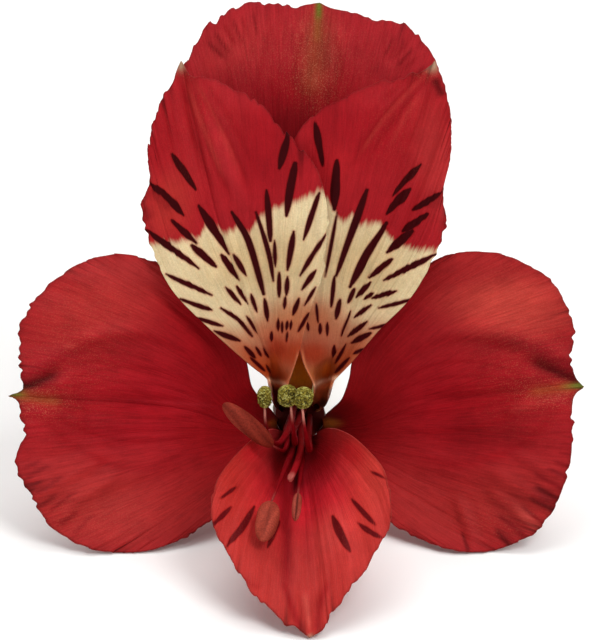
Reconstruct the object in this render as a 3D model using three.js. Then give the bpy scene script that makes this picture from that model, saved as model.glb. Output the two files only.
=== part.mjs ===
// One picked bloom of a Peruvian lily, lying on a table and looking up a little.
// Three broad outer tepals and three narrower inner ones stand on the ovary, with six stamens
// and the style between them. Sizes are in millimetres.
//
// Every piece is drawn in the bloom's own frame: x to the right, y up and z out of the face,
// with the heart, where the tepals leave the ovary, at the origin. The last lines lay it down.
import * as THREE from 'three';

const FACE_TILT = 24.7; // degrees that the bloom looks above the level
const HEART_HEIGHT = 4.85; // of the heart above the table
const BLADE = 0.6; // thickness of a tepal
const SEAT_GAP = 0.3; // between a piece and the one that carries it

const OVARY_LENGTH = 7.4;
const OVARY_RADIUS = 2.7;
const OVARY_PROFILE = [0.94, 1.01, 1, 0.9, 0.72, 0.5]; // its radius from the top down, as shares
const RIBS = 6; // one below each tepal
const RIB_HEIGHT = 0.07; // as a share of the radius
const STALK_RADIUS = 1.05;
const STALK_CLEARANCE = 0.05; // between the stalk and the table
const STALK_END = [2.6, -20]; // the cut end's place along x and z

const FILAMENT_ROOT_RADIUS = 0.32;
const FILAMENT_TIP_RADIUS = 0.2;
const STYLE_RADIUS = 0.4;
const STIGMA_START = 0.9; // where along the style its three lobes begin
const STIGMA_LOBE = 0.25; // as a share of the radius
const ANTHER_GROOVE = 0.16; // depth of the groove between an anther's two halves, as a share
const POLLEN_RELIEF = 0.09; // height of the crumbs of pollen, as a share

const RED = 0xa3222a;
const CORAL = 0xb93f36;
const CREAM = 0xd9bf92;
const GREEN = 0x6f7a3a;
const POLLEN_GREEN = 0x7d7433;
const BROWN = 0x8c3d30;
const DARK_RED = 0x86141c;

// Tepals
// A tepal is a curved sheet with four edges. Going round it as it is seen from the front:
// left runs from the ovary up its left edge to the shoulder, leftRim from there to the tip,
// rightRim from the tip to the right shoulder, and right up its right edge from the ovary.
// keel says how far its midline sinks behind the chord between its two edges, from the foot
// to the tip, so that a large keel on a narrow claw rolls it into a gutter or a tube.
// lobes says how far the two halves bulge forward on either side of the midline, and ripple
// how far the rim waves back and forth.
const TEPALS = {
  outer_tepal_top: {
    color: RED,
    left: [[-0.9, 2.25, 0], [-0.9, 3.5, 4], [-1.1, 4.8, 7], [-2.2, 7.4, 9.2], [-5.6, 12.5, 10.9],
      [-10.3, 18.6, 12.2], [-13.8, 26.6, 13.6]],
    leftRim: [[-13.3, 31.7, 14.3], [-11.4, 36.1, 14.8], [-9.1, 39.3, 15], [-6.4, 41.3, 15],
      [-2.6, 41.5, 15], [0.8, 41.2, 14.9]],
    tip: [2, 41.8, 15.2],
    rightRim: [[2.9, 41.1, 14.9], [6.6, 40.2, 15], [9.2, 40.1, 15], [11.9, 38.5, 14.8],
      [13.7, 36, 14.6], [14.3, 31.2, 14.2]],
    right: [[0.9, 2.25, 0], [0.9, 3.5, 4], [1.1, 4.8, 7], [2.2, 7.4, 9.2], [5.6, 12.5, 10.9],
      [10.3, 18.6, 12.2], [14.1, 26.2, 13.6]],
    keel: [0.3, 0.5, 0.5, 0.4, 0.2, 0, -0.2],
    lobes: [0, 0, 0, 0, 0.4, 0.6, 0.3],
    ripple: 0.45,
  },
  outer_tepal_left: {
    color: RED,
    left: [[-1.6, -1.75, 0], [-2.2, -2.8, 4], [-3.3, -4.3, 8], [-4.7, -6, 11.4], [-6.5, -8.2, 14.2],
      [-8.9, -10.3, 16.2], [-11.2, -11.9, 17.3]],
    leftRim: [[-14, -13, 17.9], [-17, -13.5, 18.1], [-21.5, -13, 18.3], [-25.4, -10.3, 18.6],
      [-27.9, -6.2, 19], [-28.3, -4.1, 19.1], [-27.5, -0.8, 19.6], [-28.2, 1.5, 19.6]],
    tip: [-28.9, 2.4, 19.9],
    rightRim: [[-28, 3.4, 19.6], [-27.8, 5.5, 19.2], [-28.1, 8.8, 18.8], [-26.6, 11.8, 18.2],
      [-24.2, 14.1, 17.6], [-21.2, 15.9, 16.8], [-18.4, 16.4, 16.2]],
    right: [[-2.3, -0.45, 0], [-2.75, 0.3, 4], [-3.7, 1.4, 7], [-4.9, 3, 9.2], [-5.6, 4.9, 10.4],
      [-6.7, 8.3, 11.8], [-9.4, 12, 13.2], [-14.5, 15.7, 15]],
    keel: [0.45, 0.8, 1.6, 2.2, 2, 1.4, 0.6],
    lobes: [0, 0, 0.2, 0.6, 1, 1.1, 0.5],
    ripple: 0.5,
  },
  outer_tepal_right: {
    color: RED,
    left: [[2.3, -0.45, 0], [2.75, 0.2, 4], [3.4, 0.8, 7], [4.3, 1.8, 9.2], [5.1, 3.9, 10.4],
      [6.4, 8, 11.8], [9.4, 12.8, 13.4], [13.7, 16.2, 15]],
    leftRim: [[17.5, 16.7, 16.1], [21, 16.2, 16.8], [24.2, 14.5, 17.6], [26.5, 12, 18.2],
      [27.2, 9, 18.8], [27.1, 6, 19.2], [27.3, 4.5, 19.6]],
    tip: [27.9, 3.3, 19.9],
    rightRim: [[27.1, 2.2, 19.6], [26.8, -0.5, 19.6], [26.6, -4.2, 19.1], [25.4, -7.5, 18.6],
      [23.3, -10.7, 18.3], [19.5, -13, 18.2], [16, -13.4, 18.1]],
    right: [[1.6, -1.75, 0], [2.2, -2.8, 4], [3.3, -4.3, 8], [4.8, -6.2, 11.4], [6.8, -8.5, 14.2],
      [9, -10.4, 16.2], [11.5, -12, 17.3]],
    keel: [0.45, 0.8, 1.6, 2.2, 2, 1.4, 0.6],
    lobes: [0, 0, 0.2, 0.6, 1, 1.1, 0.5],
    ripple: 0.5,
  },
  inner_tepal_upper_left: {
    color: CREAM,
    left: [[-1.55, 0.35, 0], [-1.6, 1.15, 4.5], [-2.05, 2.4, 8.6], [-3.3, 3.8, 11], [-5.5, 5.3, 12.6],
      [-9.5, 8.8, 14.8], [-13.2, 13.3, 16.8], [-15.4, 18.8, 18.2], [-15.8, 20.9, 18.6]],
    leftRim: [[-15.1, 23.4, 19.1], [-15.1, 27.4, 19.6], [-13.8, 31.8, 20], [-12.3, 34.6, 20]],
    tip: [-11.9, 35.7, 20],
    rightRim: [[-11, 34.4, 20], [-8, 33.5, 20.1], [-4.4, 31.7, 20.1], [-1, 28, 20.1],
      [1.2, 25.7, 19.9], [2.5, 22.4, 19.6]],
    right: [[-1.3, 0.85, 0], [-1.35, 1.7, 4.5], [-1.5, 2.6, 8.6], [-1.2, 3.4, 11], [-0.2, 6.3, 13],
      [0.9, 10.4, 15.4], [2.3, 14.6, 17.6], [2.8, 19.6, 19.2]],
    keel: [0.7, 0.85, 1.2, 1, 0.7, 0.4, 0],
    lobes: [0, 0, 0, 0, 0.2, 0.5, 0.4],
    ripple: 0.3,
  },
  inner_tepal_upper_right: {
    color: CREAM,
    left: [[1.3, 0.85, 0], [1.35, 1.7, 4.5], [1.5, 2.6, 8.6], [1.4, 3.3, 10.8], [0.2, 5.8, 11.9],
      [-0.5, 10, 13.4], [-0.9, 15, 15], [-0.9, 20, 16.4]],
    leftRim: [[-1, 25, 17.6], [-0.4, 28.4, 18.5], [2.5, 31, 19.3], [6.4, 33, 19.8],
      [10.7, 34.2, 20], [12.8, 34.9, 20]],
    tip: [13.5, 35.7, 20],
    rightRim: [[14.1, 34.4, 20], [15, 30.8, 19.8], [15.1, 26.4, 19.4], [14.3, 22.8, 19]],
    right: [[1.55, 0.35, 0], [1.6, 1.15, 4.5], [2.15, 2.4, 8.6], [3.4, 3.6, 11], [5.4, 5.2, 12.6],
      [8.2, 8.7, 14.4], [11.2, 12.1, 16], [13.7, 16.5, 17.6], [14.7, 19.8, 18.4]],
    keel: [0.7, 0.85, 1.2, 1, 0.7, 0.4, 0],
    lobes: [0, 0, 0, 0, 0.2, 0.5, 0.4],
    ripple: 0.3,
  },
  inner_tepal_lower: {
    color: CORAL,
    left: [[0.9, -2.2, 0], [1.5, -2, 5], [2.2, -1.4, 10], [3, -1.1, 15], [4, -1.2, 19.5],
      [5.3, -1.8, 23], [6.9, -3.2, 26], [8.2, -4.8, 28], [8.85, -7.1, 29.8]],
    leftRim: [[8.6, -10, 31.1], [6.95, -13, 32.4], [4.75, -16.1, 33.7], [2.9, -18.2, 34.5],
      [2.35, -19.6, 34.9]],
    tip: [0.9, -20.95, 35.2],
    rightRim: [[-1.1, -19.7, 34.9], [-3, -18.4, 34.5], [-4.7, -16.7, 33.9], [-5.9, -15, 33.3],
      [-7.3, -12.6, 32.3], [-8.6, -10, 31.1]],
    right: [[-0.9, -2.2, 0], [-1.5, -2, 5], [-2.2, -1.4, 10], [-3, -1.2, 15], [-4, -1.6, 19.5],
      [-5.3, -2.5, 23], [-6.9, -4.1, 26], [-8.1, -5.8, 28.2], [-8.65, -7.7, 30]],
    keel: [0.4, 1.8, 3, 3.6, 3.2, 2.2, 1, 0.3],
    lobes: [0, 0, 0, 0, 0.2, 0.3, 0.2],
    ripple: 0.3,
  },
};
const COLUMNS = 24;
const ROWS = 18;
const RIM_REACH = 2; // how late the rim's own outline takes over from the two edges
const RIPPLES = [[5, 0.6], [8, 1.9]]; // waves along the rim, and where each starts
const RIPPLE_REACH = 5; // how closely the waves keep to the rim
const NIBBLES = 9; // shallow bites along the rim
const NIBBLE_DEPTH = 0.15;
const NIBBLE_REACH = 16;

// Stamens
// They rise in a ring round the style, lie along the lowest tepal and curve up at their ends.
// path runs from the ovary to the anther, and tip is the anther's far end. size is half the
// anther's width and half its thickness. An anther that has shed is rolled back and covered in
// crumbs of pollen, and one that hasn't is a long smooth grain with a groove.
const STAMENS = [
  { path: [[-0.5, 0.95, 0], [-0.75, 0.4, 5], [-0.9, -0.3, 10], [-1.4, -1.3, 15], [-2.3, -1.8, 19],
    [-3.1, -1, 21.8], [-3.5, 0.2, 23.2], [-3.6, 1.1, 23.6]],
  tip: [-3.6, 3.5, 24.2], size: [0.85, 0.8], shed: true },
  { path: [[0.5, 0.95, 0], [0, -0.2, 5], [-0.65, -1.5, 10], [-0.55, -2.2, 15], [-0.5, -2.5, 19.5],
    [-0.6, -1.6, 23], [-0.75, -0.2, 25.2], [-0.9, 1.3, 26.2]],
  tip: [-1.6, 3.5, 26.8], size: [1, 0.9], shed: true },
  { path: [[0.95, -0.2, 0], [0.95, -1.15, 5], [0.85, -2.3, 10], [0.95, -3, 16], [0.9, -3.15, 20.5],
    [0.65, -1.9, 24.4], [0.4, -0.4, 26.7], [0.24, 1.1, 27.7]],
  tip: [0.5, 3.3, 28.4], size: [0.92, 0.85], shed: true },
  { path: [[-0.95, -0.2, 0], [-1.15, -0.8, 5], [-1.4, -1.5, 10], [-1.35, -2.7, 16], [-1.7, -3.3, 19.5],
    [-2.7, -2.75, 22.4]],
  tip: [-7.6, 1.5, 25], size: [1.15, 0.8], shed: false },
  { path: [[-0.6, -1.05, 0], [-0.65, -1.9, 5], [-0.7, -2.7, 10], [-0.9, -3.6, 16],
    [-1.5, -5, 21.5], [-2.3, -6.9, 26.5], [-2.8, -8.1, 28.8]],
  tip: [-3.7, -12, 32.4], size: [1.15, 0.6], shed: false },
  { path: [[0.6, -1.05, 0], [0.4, -2.1, 5], [0.15, -3.1, 10], [0.15, -4.2, 16], [0.05, -5.5, 21],
    [-0.1, -7.4, 26.2]],
  tip: [-0.35, -10, 29.4], size: [0.6, 0.5], shed: false },
];
const STYLE_PATH = [[0, 0, 0], [0.05, -1, 5], [0.1, -2, 10], [0.1, -2.9, 15], [-0.1, -3.9, 19],
  [-0.5, -5, 22], [-1, -6.1, 24.3]];

const vector = ([x, y, z]) => new THREE.Vector3(x, y, z);
const smoothCurve = (points) => new THREE.CatmullRomCurve3(points.map(vector), false, 'centripetal');

// A smooth run through evenly spaced values, read at 0 to 1.
function runOf(values) {
  const points = values.map((value, i) => new THREE.Vector2(i / (values.length - 1), value));
  const curve = new THREE.SplineCurve(points);
  return (t) => curve.getPoint(t).y;
}

function closedGeometry(positions, index) {
  const geometry = new THREE.BufferGeometry();
  geometry.setAttribute('position', new THREE.Float32BufferAttribute(positions, 3));
  geometry.setIndex(index);
  geometry.computeVertexNormals();
  return geometry;
}

// The middle surface of a tepal: s runs across it from its left edge, t from the ovary to the rim.
function tepalSurface({ left, leftRim, tip, rightRim, right, keel, lobes, ripple }) {
  const leftEdge = smoothCurve(left);
  const rightEdge = smoothCurve(right);
  const rimBefore = smoothCurve([left.at(-1), ...leftRim, tip]);
  const rimAfter = smoothCurve([tip, ...rightRim, right.at(-1)]);
  const rim = (s) => (s < 0.5 ? rimBefore.getPointAt(2 * s) : rimAfter.getPointAt(2 * s - 1));
  const keelAt = runOf(keel);
  const lobesAt = runOf(lobes);

  // Rows run straight from edge to edge at the foot and take on the rim's outline near it.
  const sheet = (s, t) => {
    const bow = rim(s).sub(vector(left.at(-1)).lerp(vector(right.at(-1)), s));
    const p = leftEdge.getPointAt(t).lerp(rightEdge.getPointAt(t), s);
    return p.addScaledVector(bow, t ** RIM_REACH);
  };

  return (s, t) => {
    const p = sheet(s, t);
    const across = rightEdge.getPointAt(t).sub(leftEdge.getPointAt(t));
    const chord = across.length();
    across.normalize();
    const along = sheet(0.5, Math.min(1, t + 0.02)).sub(sheet(0.5, Math.max(0, t - 0.02))).normalize();
    const behind = along.clone().cross(across).normalize();

    // The section across the tepal is an arc as deep as the keel.
    const depth = keelAt(t);
    const half = 2 * Math.atan((2 * Math.abs(depth)) / chord);
    if (half > 1e-4) {
      const radius = chord / 2 / Math.sin(half);
      const turn = half * (2 * s - 1);
      p.addScaledVector(across, radius * Math.sin(turn) - chord * (s - 0.5));
      p.addScaledVector(behind, Math.sign(depth) * radius * (Math.cos(turn) - Math.cos(half)));
    }

    const bulge = lobesAt(t) * Math.sin(2 * Math.PI * s) ** 2;
    const waves = RIPPLES.map(([count, start]) => Math.sin(2 * Math.PI * count * s + start));
    const wave = (ripple / RIPPLES.length) * (waves[0] + waves[1]);
    const bite = NIBBLE_DEPTH * Math.sin(2 * Math.PI * NIBBLES * s) * Math.sin(Math.PI * s);
    p.addScaledVector(behind, wave * t ** RIPPLE_REACH - bulge);
    return p.addScaledVector(along, bite * t ** NIBBLE_REACH);
  };
}

// A closed sheet of even thickness round a middle surface. Both faces are split alike.
function thickSheet(surface) {
  const width = COLUMNS + 1;
  const count = width * (ROWS + 1);
  const points = [];
  for (let j = 0; j <= ROWS; j++) {
    for (let i = 0; i <= COLUMNS; i++) points.push(surface(i / COLUMNS, j / ROWS));
  }
  const at = (i, j) => points[j * width + i];
  const normal = (i, j) => {
    const across = at(Math.min(COLUMNS, i + 1), j).clone().sub(at(Math.max(0, i - 1), j));
    const along = at(i, Math.min(ROWS, j + 1)).clone().sub(at(i, Math.max(0, j - 1)));
    return across.cross(along).normalize();
  };

  const positions = [];
  for (const half of [BLADE / 2, -BLADE / 2]) {
    for (let j = 0; j <= ROWS; j++) {
      for (let i = 0; i <= COLUMNS; i++) {
        positions.push(...at(i, j).clone().addScaledVector(normal(i, j), half));
      }
    }
  }

  const index = [];
  for (let j = 0; j < ROWS; j++) {
    for (let i = 0; i < COLUMNS; i++) {
      const a = j * width + i;
      const c = a + width;
      for (const [p, q, r] of [[a, a + 1, c + 1], [a, c + 1, c]]) {
        index.push(p, q, r, count + p, count + r, count + q);
      }
    }
  }
  const border = [];
  for (let i = 0; i < COLUMNS; i++) border.push(i);
  for (let j = 0; j < ROWS; j++) border.push(j * width + COLUMNS);
  for (let i = COLUMNS; i > 0; i--) border.push(ROWS * width + i);
  for (let j = ROWS; j > 0; j--) border.push(j * width);
  border.forEach((a, n) => {
    const b = border[(n + 1) % border.length];
    index.push(a, count + a, count + b, a, count + b, b);
  });
  return closedGeometry(positions, index);
}

// A closed round body along a curve. radius(v, angle) is its radius at 0 to 1 along the curve.
function roundBody(curve, radius, steps, sides, frames = curve.computeFrenetFrames(steps, false)) {
  const positions = [];
  for (let k = 0; k <= steps; k++) {
    const centre = curve.getPointAt(k / steps);
    for (let n = 0; n < sides; n++) {
      const angle = (2 * Math.PI * n) / sides;
      const r = radius(k / steps, angle);
      const p = centre.clone().addScaledVector(frames.normals[k], r * Math.cos(angle));
      positions.push(...p.addScaledVector(frames.binormals[k], r * Math.sin(angle)));
    }
  }
  const first = positions.length / 3;
  positions.push(...curve.getPointAt(0), ...curve.getPointAt(1));

  const index = [];
  for (let n = 0; n < sides; n++) {
    const m = (n + 1) % sides;
    for (let k = 0; k < steps; k++) {
      const [a, b] = [k * sides + n, k * sides + m];
      index.push(a, b, b + sides, a, b + sides, a + sides);
    }
    index.push(first, m, n, first + 1, steps * sides + n, steps * sides + m);
  }
  return closedGeometry(positions, index);
}

const bloom = new THREE.Group();
function add(name, geometry, color) {
  const material = new THREE.MeshStandardMaterial({ color, roughness: 0.55, metalness: 0 });
  const mesh = new THREE.Mesh(geometry, material);
  mesh.name = name;
  bloom.add(mesh);
}

for (const [name, tepal] of Object.entries(TEPALS)) {
  add(name, thickSheet(tepalSurface(tepal)), tepal.color);
}

function antherRadius([wide, thick], shed) {
  return (v, angle) => {
    const swell = Math.sqrt(Math.max(0.02, 1 - (2 * v - 1) ** 4));
    const oval = (wide * thick) / Math.hypot(thick * Math.cos(angle), wide * Math.sin(angle));
    const groove = 1 - ANTHER_GROOVE * Math.abs(Math.sin(angle)) ** 8;
    const crumbs = 1 + POLLEN_RELIEF * Math.sin(5 * angle) * Math.cos(14 * v);
    return swell * oval * (shed ? crumbs : groove);
  };
}

const ANTHER_STEPS = 9;
const ANTHER_SIDES = 12;
function antherBody({ path, tip, size, shed }) {
  const top = vector(path.at(-1));
  const axis = vector(tip).sub(top).normalize();
  const line = new THREE.LineCurve3(top.addScaledVector(axis, SEAT_GAP), vector(tip));
  // Its broad side faces the front.
  const side = new THREE.Vector3(0, 0, 1).cross(axis).normalize();
  const front = axis.clone().cross(side);
  const frames = {
    normals: new Array(ANTHER_STEPS + 1).fill(side),
    binormals: new Array(ANTHER_STEPS + 1).fill(front),
  };
  return roundBody(line, antherRadius(size, shed), ANTHER_STEPS, ANTHER_SIDES, frames);
}

const taper = (v) => THREE.MathUtils.lerp(FILAMENT_ROOT_RADIUS, FILAMENT_TIP_RADIUS, v);
STAMENS.forEach((stamen, n) => {
  add(`filament_${n + 1}`, roundBody(smoothCurve(stamen.path), taper, 16, 8), DARK_RED);
  add(`anther_${n + 1}`, antherBody(stamen), stamen.shed ? POLLEN_GREEN : BROWN);
});

const styleRadius = (v, angle) => {
  const lobed = v > STIGMA_START ? STIGMA_LOBE * Math.cos(3 * angle) : -0.2 * v;
  return STYLE_RADIUS * (1 + lobed);
};
add('style', roundBody(smoothCurve(STYLE_PATH), styleRadius, 18, 9), RED);

// The ovary and the stalk under it grew as one piece. The stalk bends to lie along the table.
const tilt = THREE.MathUtils.degToRad(FACE_TILT);
const stalkHeight = STALK_RADIUS + STALK_CLEARANCE - HEART_HEIGHT;
const onTable = (x, z) => [x, (stalkHeight - z * Math.sin(tilt)) / Math.cos(tilt), z];
const [endX, endZ] = STALK_END;
const ovaryAxis = smoothCurve([[0, 0, -SEAT_GAP], [0, 0, -OVARY_LENGTH / 2], [0, 0, -OVARY_LENGTH],
  onTable(0.15 * endX, 0.6 * endZ), onTable(0.4 * endX, 0.75 * endZ), onTable(endX, endZ)]);
const ovaryShare = OVARY_LENGTH / ovaryAxis.getLength();
const ovaryProfile = runOf(OVARY_PROFILE);
const ovaryRadius = (v, angle) => {
  const down = Math.min(1, v / ovaryShare);
  const rib = 1 + RIB_HEIGHT * Math.sin(Math.PI * down) * Math.cos(RIBS * angle);
  return Math.max(STALK_RADIUS, down < 1 ? OVARY_RADIUS * ovaryProfile(down) * rib : 0);
};
add('ovary_and_stalk', roundBody(ovaryAxis, ovaryRadius, 28, 24), GREEN);

// Laid on the table: the face turned up by its tilt, the middle of its outline over the origin.
const part = new THREE.Group();
bloom.rotation.x = Math.PI / 2 - tilt;
part.add(bloom);
const box = new THREE.Box3().setFromObject(part, true);
bloom.position.set(-(box.min.x + box.max.x) / 2, -(box.min.y + box.max.y) / 2, -box.min.z);

export default part;
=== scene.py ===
# %% [markdown]
# # A picked Peruvian lily bloom
# The real thing is a garden hybrid's bloom, about 57 mm across: three broad outer tepals, three
# narrower inner ones of which the upper two carry a streaked cream patch, six stamens and a
# style, all standing on a ribbed green ovary. (Tepals are petals and sepals that look alike.)
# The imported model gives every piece's place. This script keeps that frame and dresses each
# piece with thin curved sheets, veins, streaks and pollen.

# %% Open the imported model
import math

import bpy
import numpy as np
from mathutils import Matrix, Vector


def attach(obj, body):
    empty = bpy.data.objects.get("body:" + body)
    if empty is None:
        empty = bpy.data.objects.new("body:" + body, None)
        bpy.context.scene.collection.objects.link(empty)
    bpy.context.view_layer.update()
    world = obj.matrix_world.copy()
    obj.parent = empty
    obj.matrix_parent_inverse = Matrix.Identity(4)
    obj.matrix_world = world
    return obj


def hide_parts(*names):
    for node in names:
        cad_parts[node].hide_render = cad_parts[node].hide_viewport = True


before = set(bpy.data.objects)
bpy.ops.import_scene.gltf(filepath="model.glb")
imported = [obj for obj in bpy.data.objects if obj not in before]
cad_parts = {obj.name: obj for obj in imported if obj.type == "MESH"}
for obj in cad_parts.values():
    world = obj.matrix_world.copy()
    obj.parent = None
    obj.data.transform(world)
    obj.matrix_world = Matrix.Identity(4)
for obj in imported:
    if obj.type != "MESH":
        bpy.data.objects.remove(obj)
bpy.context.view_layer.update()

MM = 0.001

# %% [markdown]
# ## The bloom's own frame
# A bloom is easier to draw as its face is seen: x to the right, y up, z out of the face, and the
# heart, where the tepals leave the ovary, at the origin. On the table it lies tipped back. The
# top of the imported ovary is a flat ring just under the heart, so it says where the heart is.

# %% Find the heart
FACE_TILT = math.radians(24.7)  # how far the face looks above the level
SEAT_GAP = 0.3  # mm from the ovary's top to the heart
FLATNESS = 0.01  # mm

turn = np.array(Matrix.Rotation(math.pi / 2 - FACE_TILT, 3, "X"))
ovary_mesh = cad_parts["ovary_and_stalk"].data
ovary_points = np.array([v.co for v in ovary_mesh.vertices]) @ turn
ovary_top = ovary_points[ovary_points[:, 2] > ovary_points[:, 2].max() - FLATNESS * MM]
heart = (ovary_top.min(0) + ovary_top.max(0)) / 2 + [0, 0, SEAT_GAP * MM]
heart = turn @ heart


def on_table(points):
    """Moves points from the bloom's frame in millimetres to the table's frame in metres."""
    return np.asarray(points) * MM @ turn.T + heart


print("heart, mm above the table:", round(heart[2] / MM, 2))

# %% [markdown]
# ## The camera
# The photograph looks straight into the face from about 0.6 m with a long lens, so the camera
# stands on the bloom's own z axis. With no shift and no tilt, one pixel is 0.1 mm on the plane
# 20 mm in front of the heart, where most of the rims are.

# %% Stand the camera before the face
CAMERA_PLACE = np.array([0.1, 9.8, 600])  # mm, in the bloom's frame
REFERENCE_PLANE = 20  # mm in front of the heart
PICTURE_HEIGHT = 64  # mm that the picture takes in on that plane
SENSOR = 36  # mm
HEART_PIXEL = np.array([300, 418])  # where the heart's axis meets the photograph
PIXELS_PER_MM = 10

camera = bpy.data.objects.new("camera", bpy.data.cameras.new("camera"))
bpy.context.scene.collection.objects.link(camera)
placed = Matrix(turn.tolist()).to_4x4()
placed.translation = Vector(on_table(CAMERA_PLACE))
camera.matrix_world = placed
camera.data.sensor_width = SENSOR
camera.data.lens = SENSOR * (CAMERA_PLACE[2] - REFERENCE_PLANE) / PICTURE_HEIGHT
camera.data.clip_start = 0.01
bpy.context.scene.camera = camera


def as_seen(points):
    """Where points of the bloom's frame are seen on the reference plane, in millimetres."""
    nearness = (CAMERA_PLACE[2] - REFERENCE_PLANE) / (CAMERA_PLACE[2] - points[..., 2:])
    return CAMERA_PLACE[:2] + (points[..., :2] - CAMERA_PLACE[:2]) * nearness


def from_pixels(pixels):
    """The place on the reference plane, in millimetres, of pixels in the photograph."""
    pixels = np.asarray(pixels, float).reshape(-1, 2)
    return (pixels - HEART_PIXEL) * [1, -1] / PIXELS_PER_MM


print("lens, mm:", round(camera.data.lens, 1))

# %% [markdown]
# ## Colours
# Every colour is written as the sRGB hex value that a picture program shows, and one function
# turns it to the linear values that the shaders work in.

# %% Turn hex colours to linear
def linear(hex_colour):
    srgb = np.array([int(hex_colour[i : i + 2], 16) / 255 for i in (1, 3, 5)])
    return np.where(srgb <= 0.04045, srgb / 12.92, ((srgb + 0.055) / 1.055) ** 2.4)


def socket_colour(hex_colour):
    """A linear colour with an alpha of 1, as a colour socket takes it."""
    return (*linear(hex_colour), 1)


# %% [markdown]
# ## Nodes
# All materials are node trees. One small function adds a node: its settings are given by name,
# and each input is either linked to another node's output or set to a plain value. The start of
# a kind's name, which is the same for every shader node, is left out.

# %% Add nodes and materials
def node(tree, kind, inputs=None, **settings):
    new = tree.nodes.new("ShaderNode" + kind)
    for name, value in settings.items():
        setattr(new, name, value)
    for socket, value in (inputs or {}).items():
        if isinstance(value, bpy.types.NodeSocket):
            tree.links.new(value, new.inputs[socket])
        else:
            new.inputs[socket].default_value = value
    return new


def new_material(name):
    """An empty node material and its tree."""
    material = bpy.data.materials.new(name)
    material.use_nodes = True
    material.node_tree.nodes.clear()
    return material, material.node_tree


# The sockets of a Mix node that mixes colours
FACTOR, COLOUR_A, COLOUR_B, MIXED = 0, 6, 7, 2

# %% [markdown]
# ## The table and the light
# The cut-out photograph has a white ground and soft light from above and in front, a little
# stronger from the right. A pale matt table top and three large area lights give the same.

# %% Lay the table top
TABLE_SIDE = 3.0  # m
TABLE_SHADE, TABLE_WHITE = "#f7f6f4", "#fafaf9"
table_material, tree = new_material("matt_white_laminate")
place = node(tree, "TexCoord").outputs["Object"]
mottle = node(tree, "TexNoise", {"Vector": place, "Scale": 6.0, "Detail": 3.0}).outputs["Fac"]
layers = {FACTOR: mottle, COLOUR_A: socket_colour(TABLE_SHADE), COLOUR_B: socket_colour(TABLE_WHITE)}
tone = node(tree, "Mix", layers, data_type="RGBA").outputs[MIXED]
matt = {"Base Color": tone, "Roughness": 0.85, "Specular IOR Level": 0.2}
surface = node(tree, "BsdfPrincipled", matt)
node(tree, "OutputMaterial", {"Surface": surface.outputs[0]})

table_mesh = bpy.data.meshes.new("table_top")
half = TABLE_SIDE / 2
corners = [(-half, -half, 0), (half, -half, 0), (half, half, 0), (-half, half, 0)]
table_mesh.from_pydata(corners, [], [(0, 1, 2, 3)])
table_top = bpy.data.objects.new("table_top", table_mesh)
bpy.context.scene.collection.objects.link(table_top)
table_mesh.materials.append(table_material)

# %% Hang the lights
LIGHTS = {
    # name: (place in m, side in m, watts)
    "key": ((0.42, -0.62, 0.86), 0.45, 6.6),
    "fill": ((-0.7, -0.75, 0.4), 0.7, 1.8),
    "overhead": ((-0.05, 0.25, 1.1), 1.0, 8.0),
}
AIM = Vector((0, 0, 0.025))  # m
for name, (position, side, watts) in LIGHTS.items():
    light = bpy.data.lights.new(name, "AREA")
    light.size = side
    light.energy = watts
    lamp = bpy.data.objects.new(name, light)
    bpy.context.scene.collection.objects.link(lamp)
    lamp.location = position
    lamp.rotation_euler = (AIM - lamp.location).to_track_quat("-Z", "Y").to_euler()

world = bpy.data.worlds.new("studio")
bpy.context.scene.world = world
world.use_nodes = True
world.node_tree.nodes["Background"].inputs["Color"].default_value = (1, 1, 1, 1)
world.node_tree.nodes["Background"].inputs["Strength"].default_value = 0.4
bpy.context.scene.view_settings.view_transform = "Standard"

# %% [markdown]
# ## Curves
# The tepals' edges are smooth curves through a few points, read by their length, in the way
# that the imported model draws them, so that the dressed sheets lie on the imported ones, to within
# a millimetre at the margins.

# %% Draw smooth curves
CURVE_STEPS = 600  # for measuring a curve's length


def hermite(p1, p2, start, end, w):
    """The cubic from p1 to p2 with a slope at its start and its end, read at w from 0 to 1."""
    cubic = 2 * p1 - 2 * p2 + start + end
    square = -3 * p1 + 3 * p2 - 2 * start - end
    return p1 + start * w + square * w**2 + cubic * w**3


def smooth_curve(points):
    """A centripetal Catmull-Rom curve through points, read at 0 to 1 of its length."""
    points = np.array(points, float)
    padded = np.vstack([2 * points[0] - points[1], points, 2 * points[-1] - points[-2]])
    gaps = np.maximum(np.linalg.norm(np.diff(padded, axis=0), axis=1) ** 0.5, 1e-4)
    last = len(points) - 2

    def at(u):
        i = np.clip(np.floor(u).astype(int), 0, last)
        w = (u - i)[:, None]
        p0, p1, p2, p3 = (padded[i + k] for k in range(4))
        g0, g1, g2 = (gaps[i + k][:, None] for k in range(3))
        start = ((p1 - p0) / g0 - (p2 - p0) / (g0 + g1) + (p2 - p1) / g1) * g1
        end = ((p2 - p1) / g1 - (p3 - p1) / (g1 + g2) + (p3 - p2) / g2) * g1
        return hermite(p1, p2, start, end, w)

    steps = np.linspace(0, last + 1, CURVE_STEPS)
    lengths = np.concatenate([[0], np.cumsum(np.linalg.norm(np.diff(at(steps), axis=0), axis=1))])
    return lambda t: at(np.interp(np.atleast_1d(t) * lengths[-1], lengths, steps))


def run_of(values):
    """A smooth run through evenly spaced values, read at 0 to 1."""
    values = np.array(values, float)
    last = len(values) - 1

    def at(t):
        u = np.asarray(t, float) * last
        i = np.clip(np.floor(u).astype(int), 0, last - 1)
        v0, v1, v2, v3 = (values[np.clip(i + k, 0, last)] for k in (-1, 0, 1, 2))
        return hermite(v1, v2, (v2 - v0) / 2, (v3 - v1) / 2, u - i)

    return at


def unit(vectors):
    return vectors / np.maximum(np.linalg.norm(vectors, axis=-1, keepdims=True), 1e-12)


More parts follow.
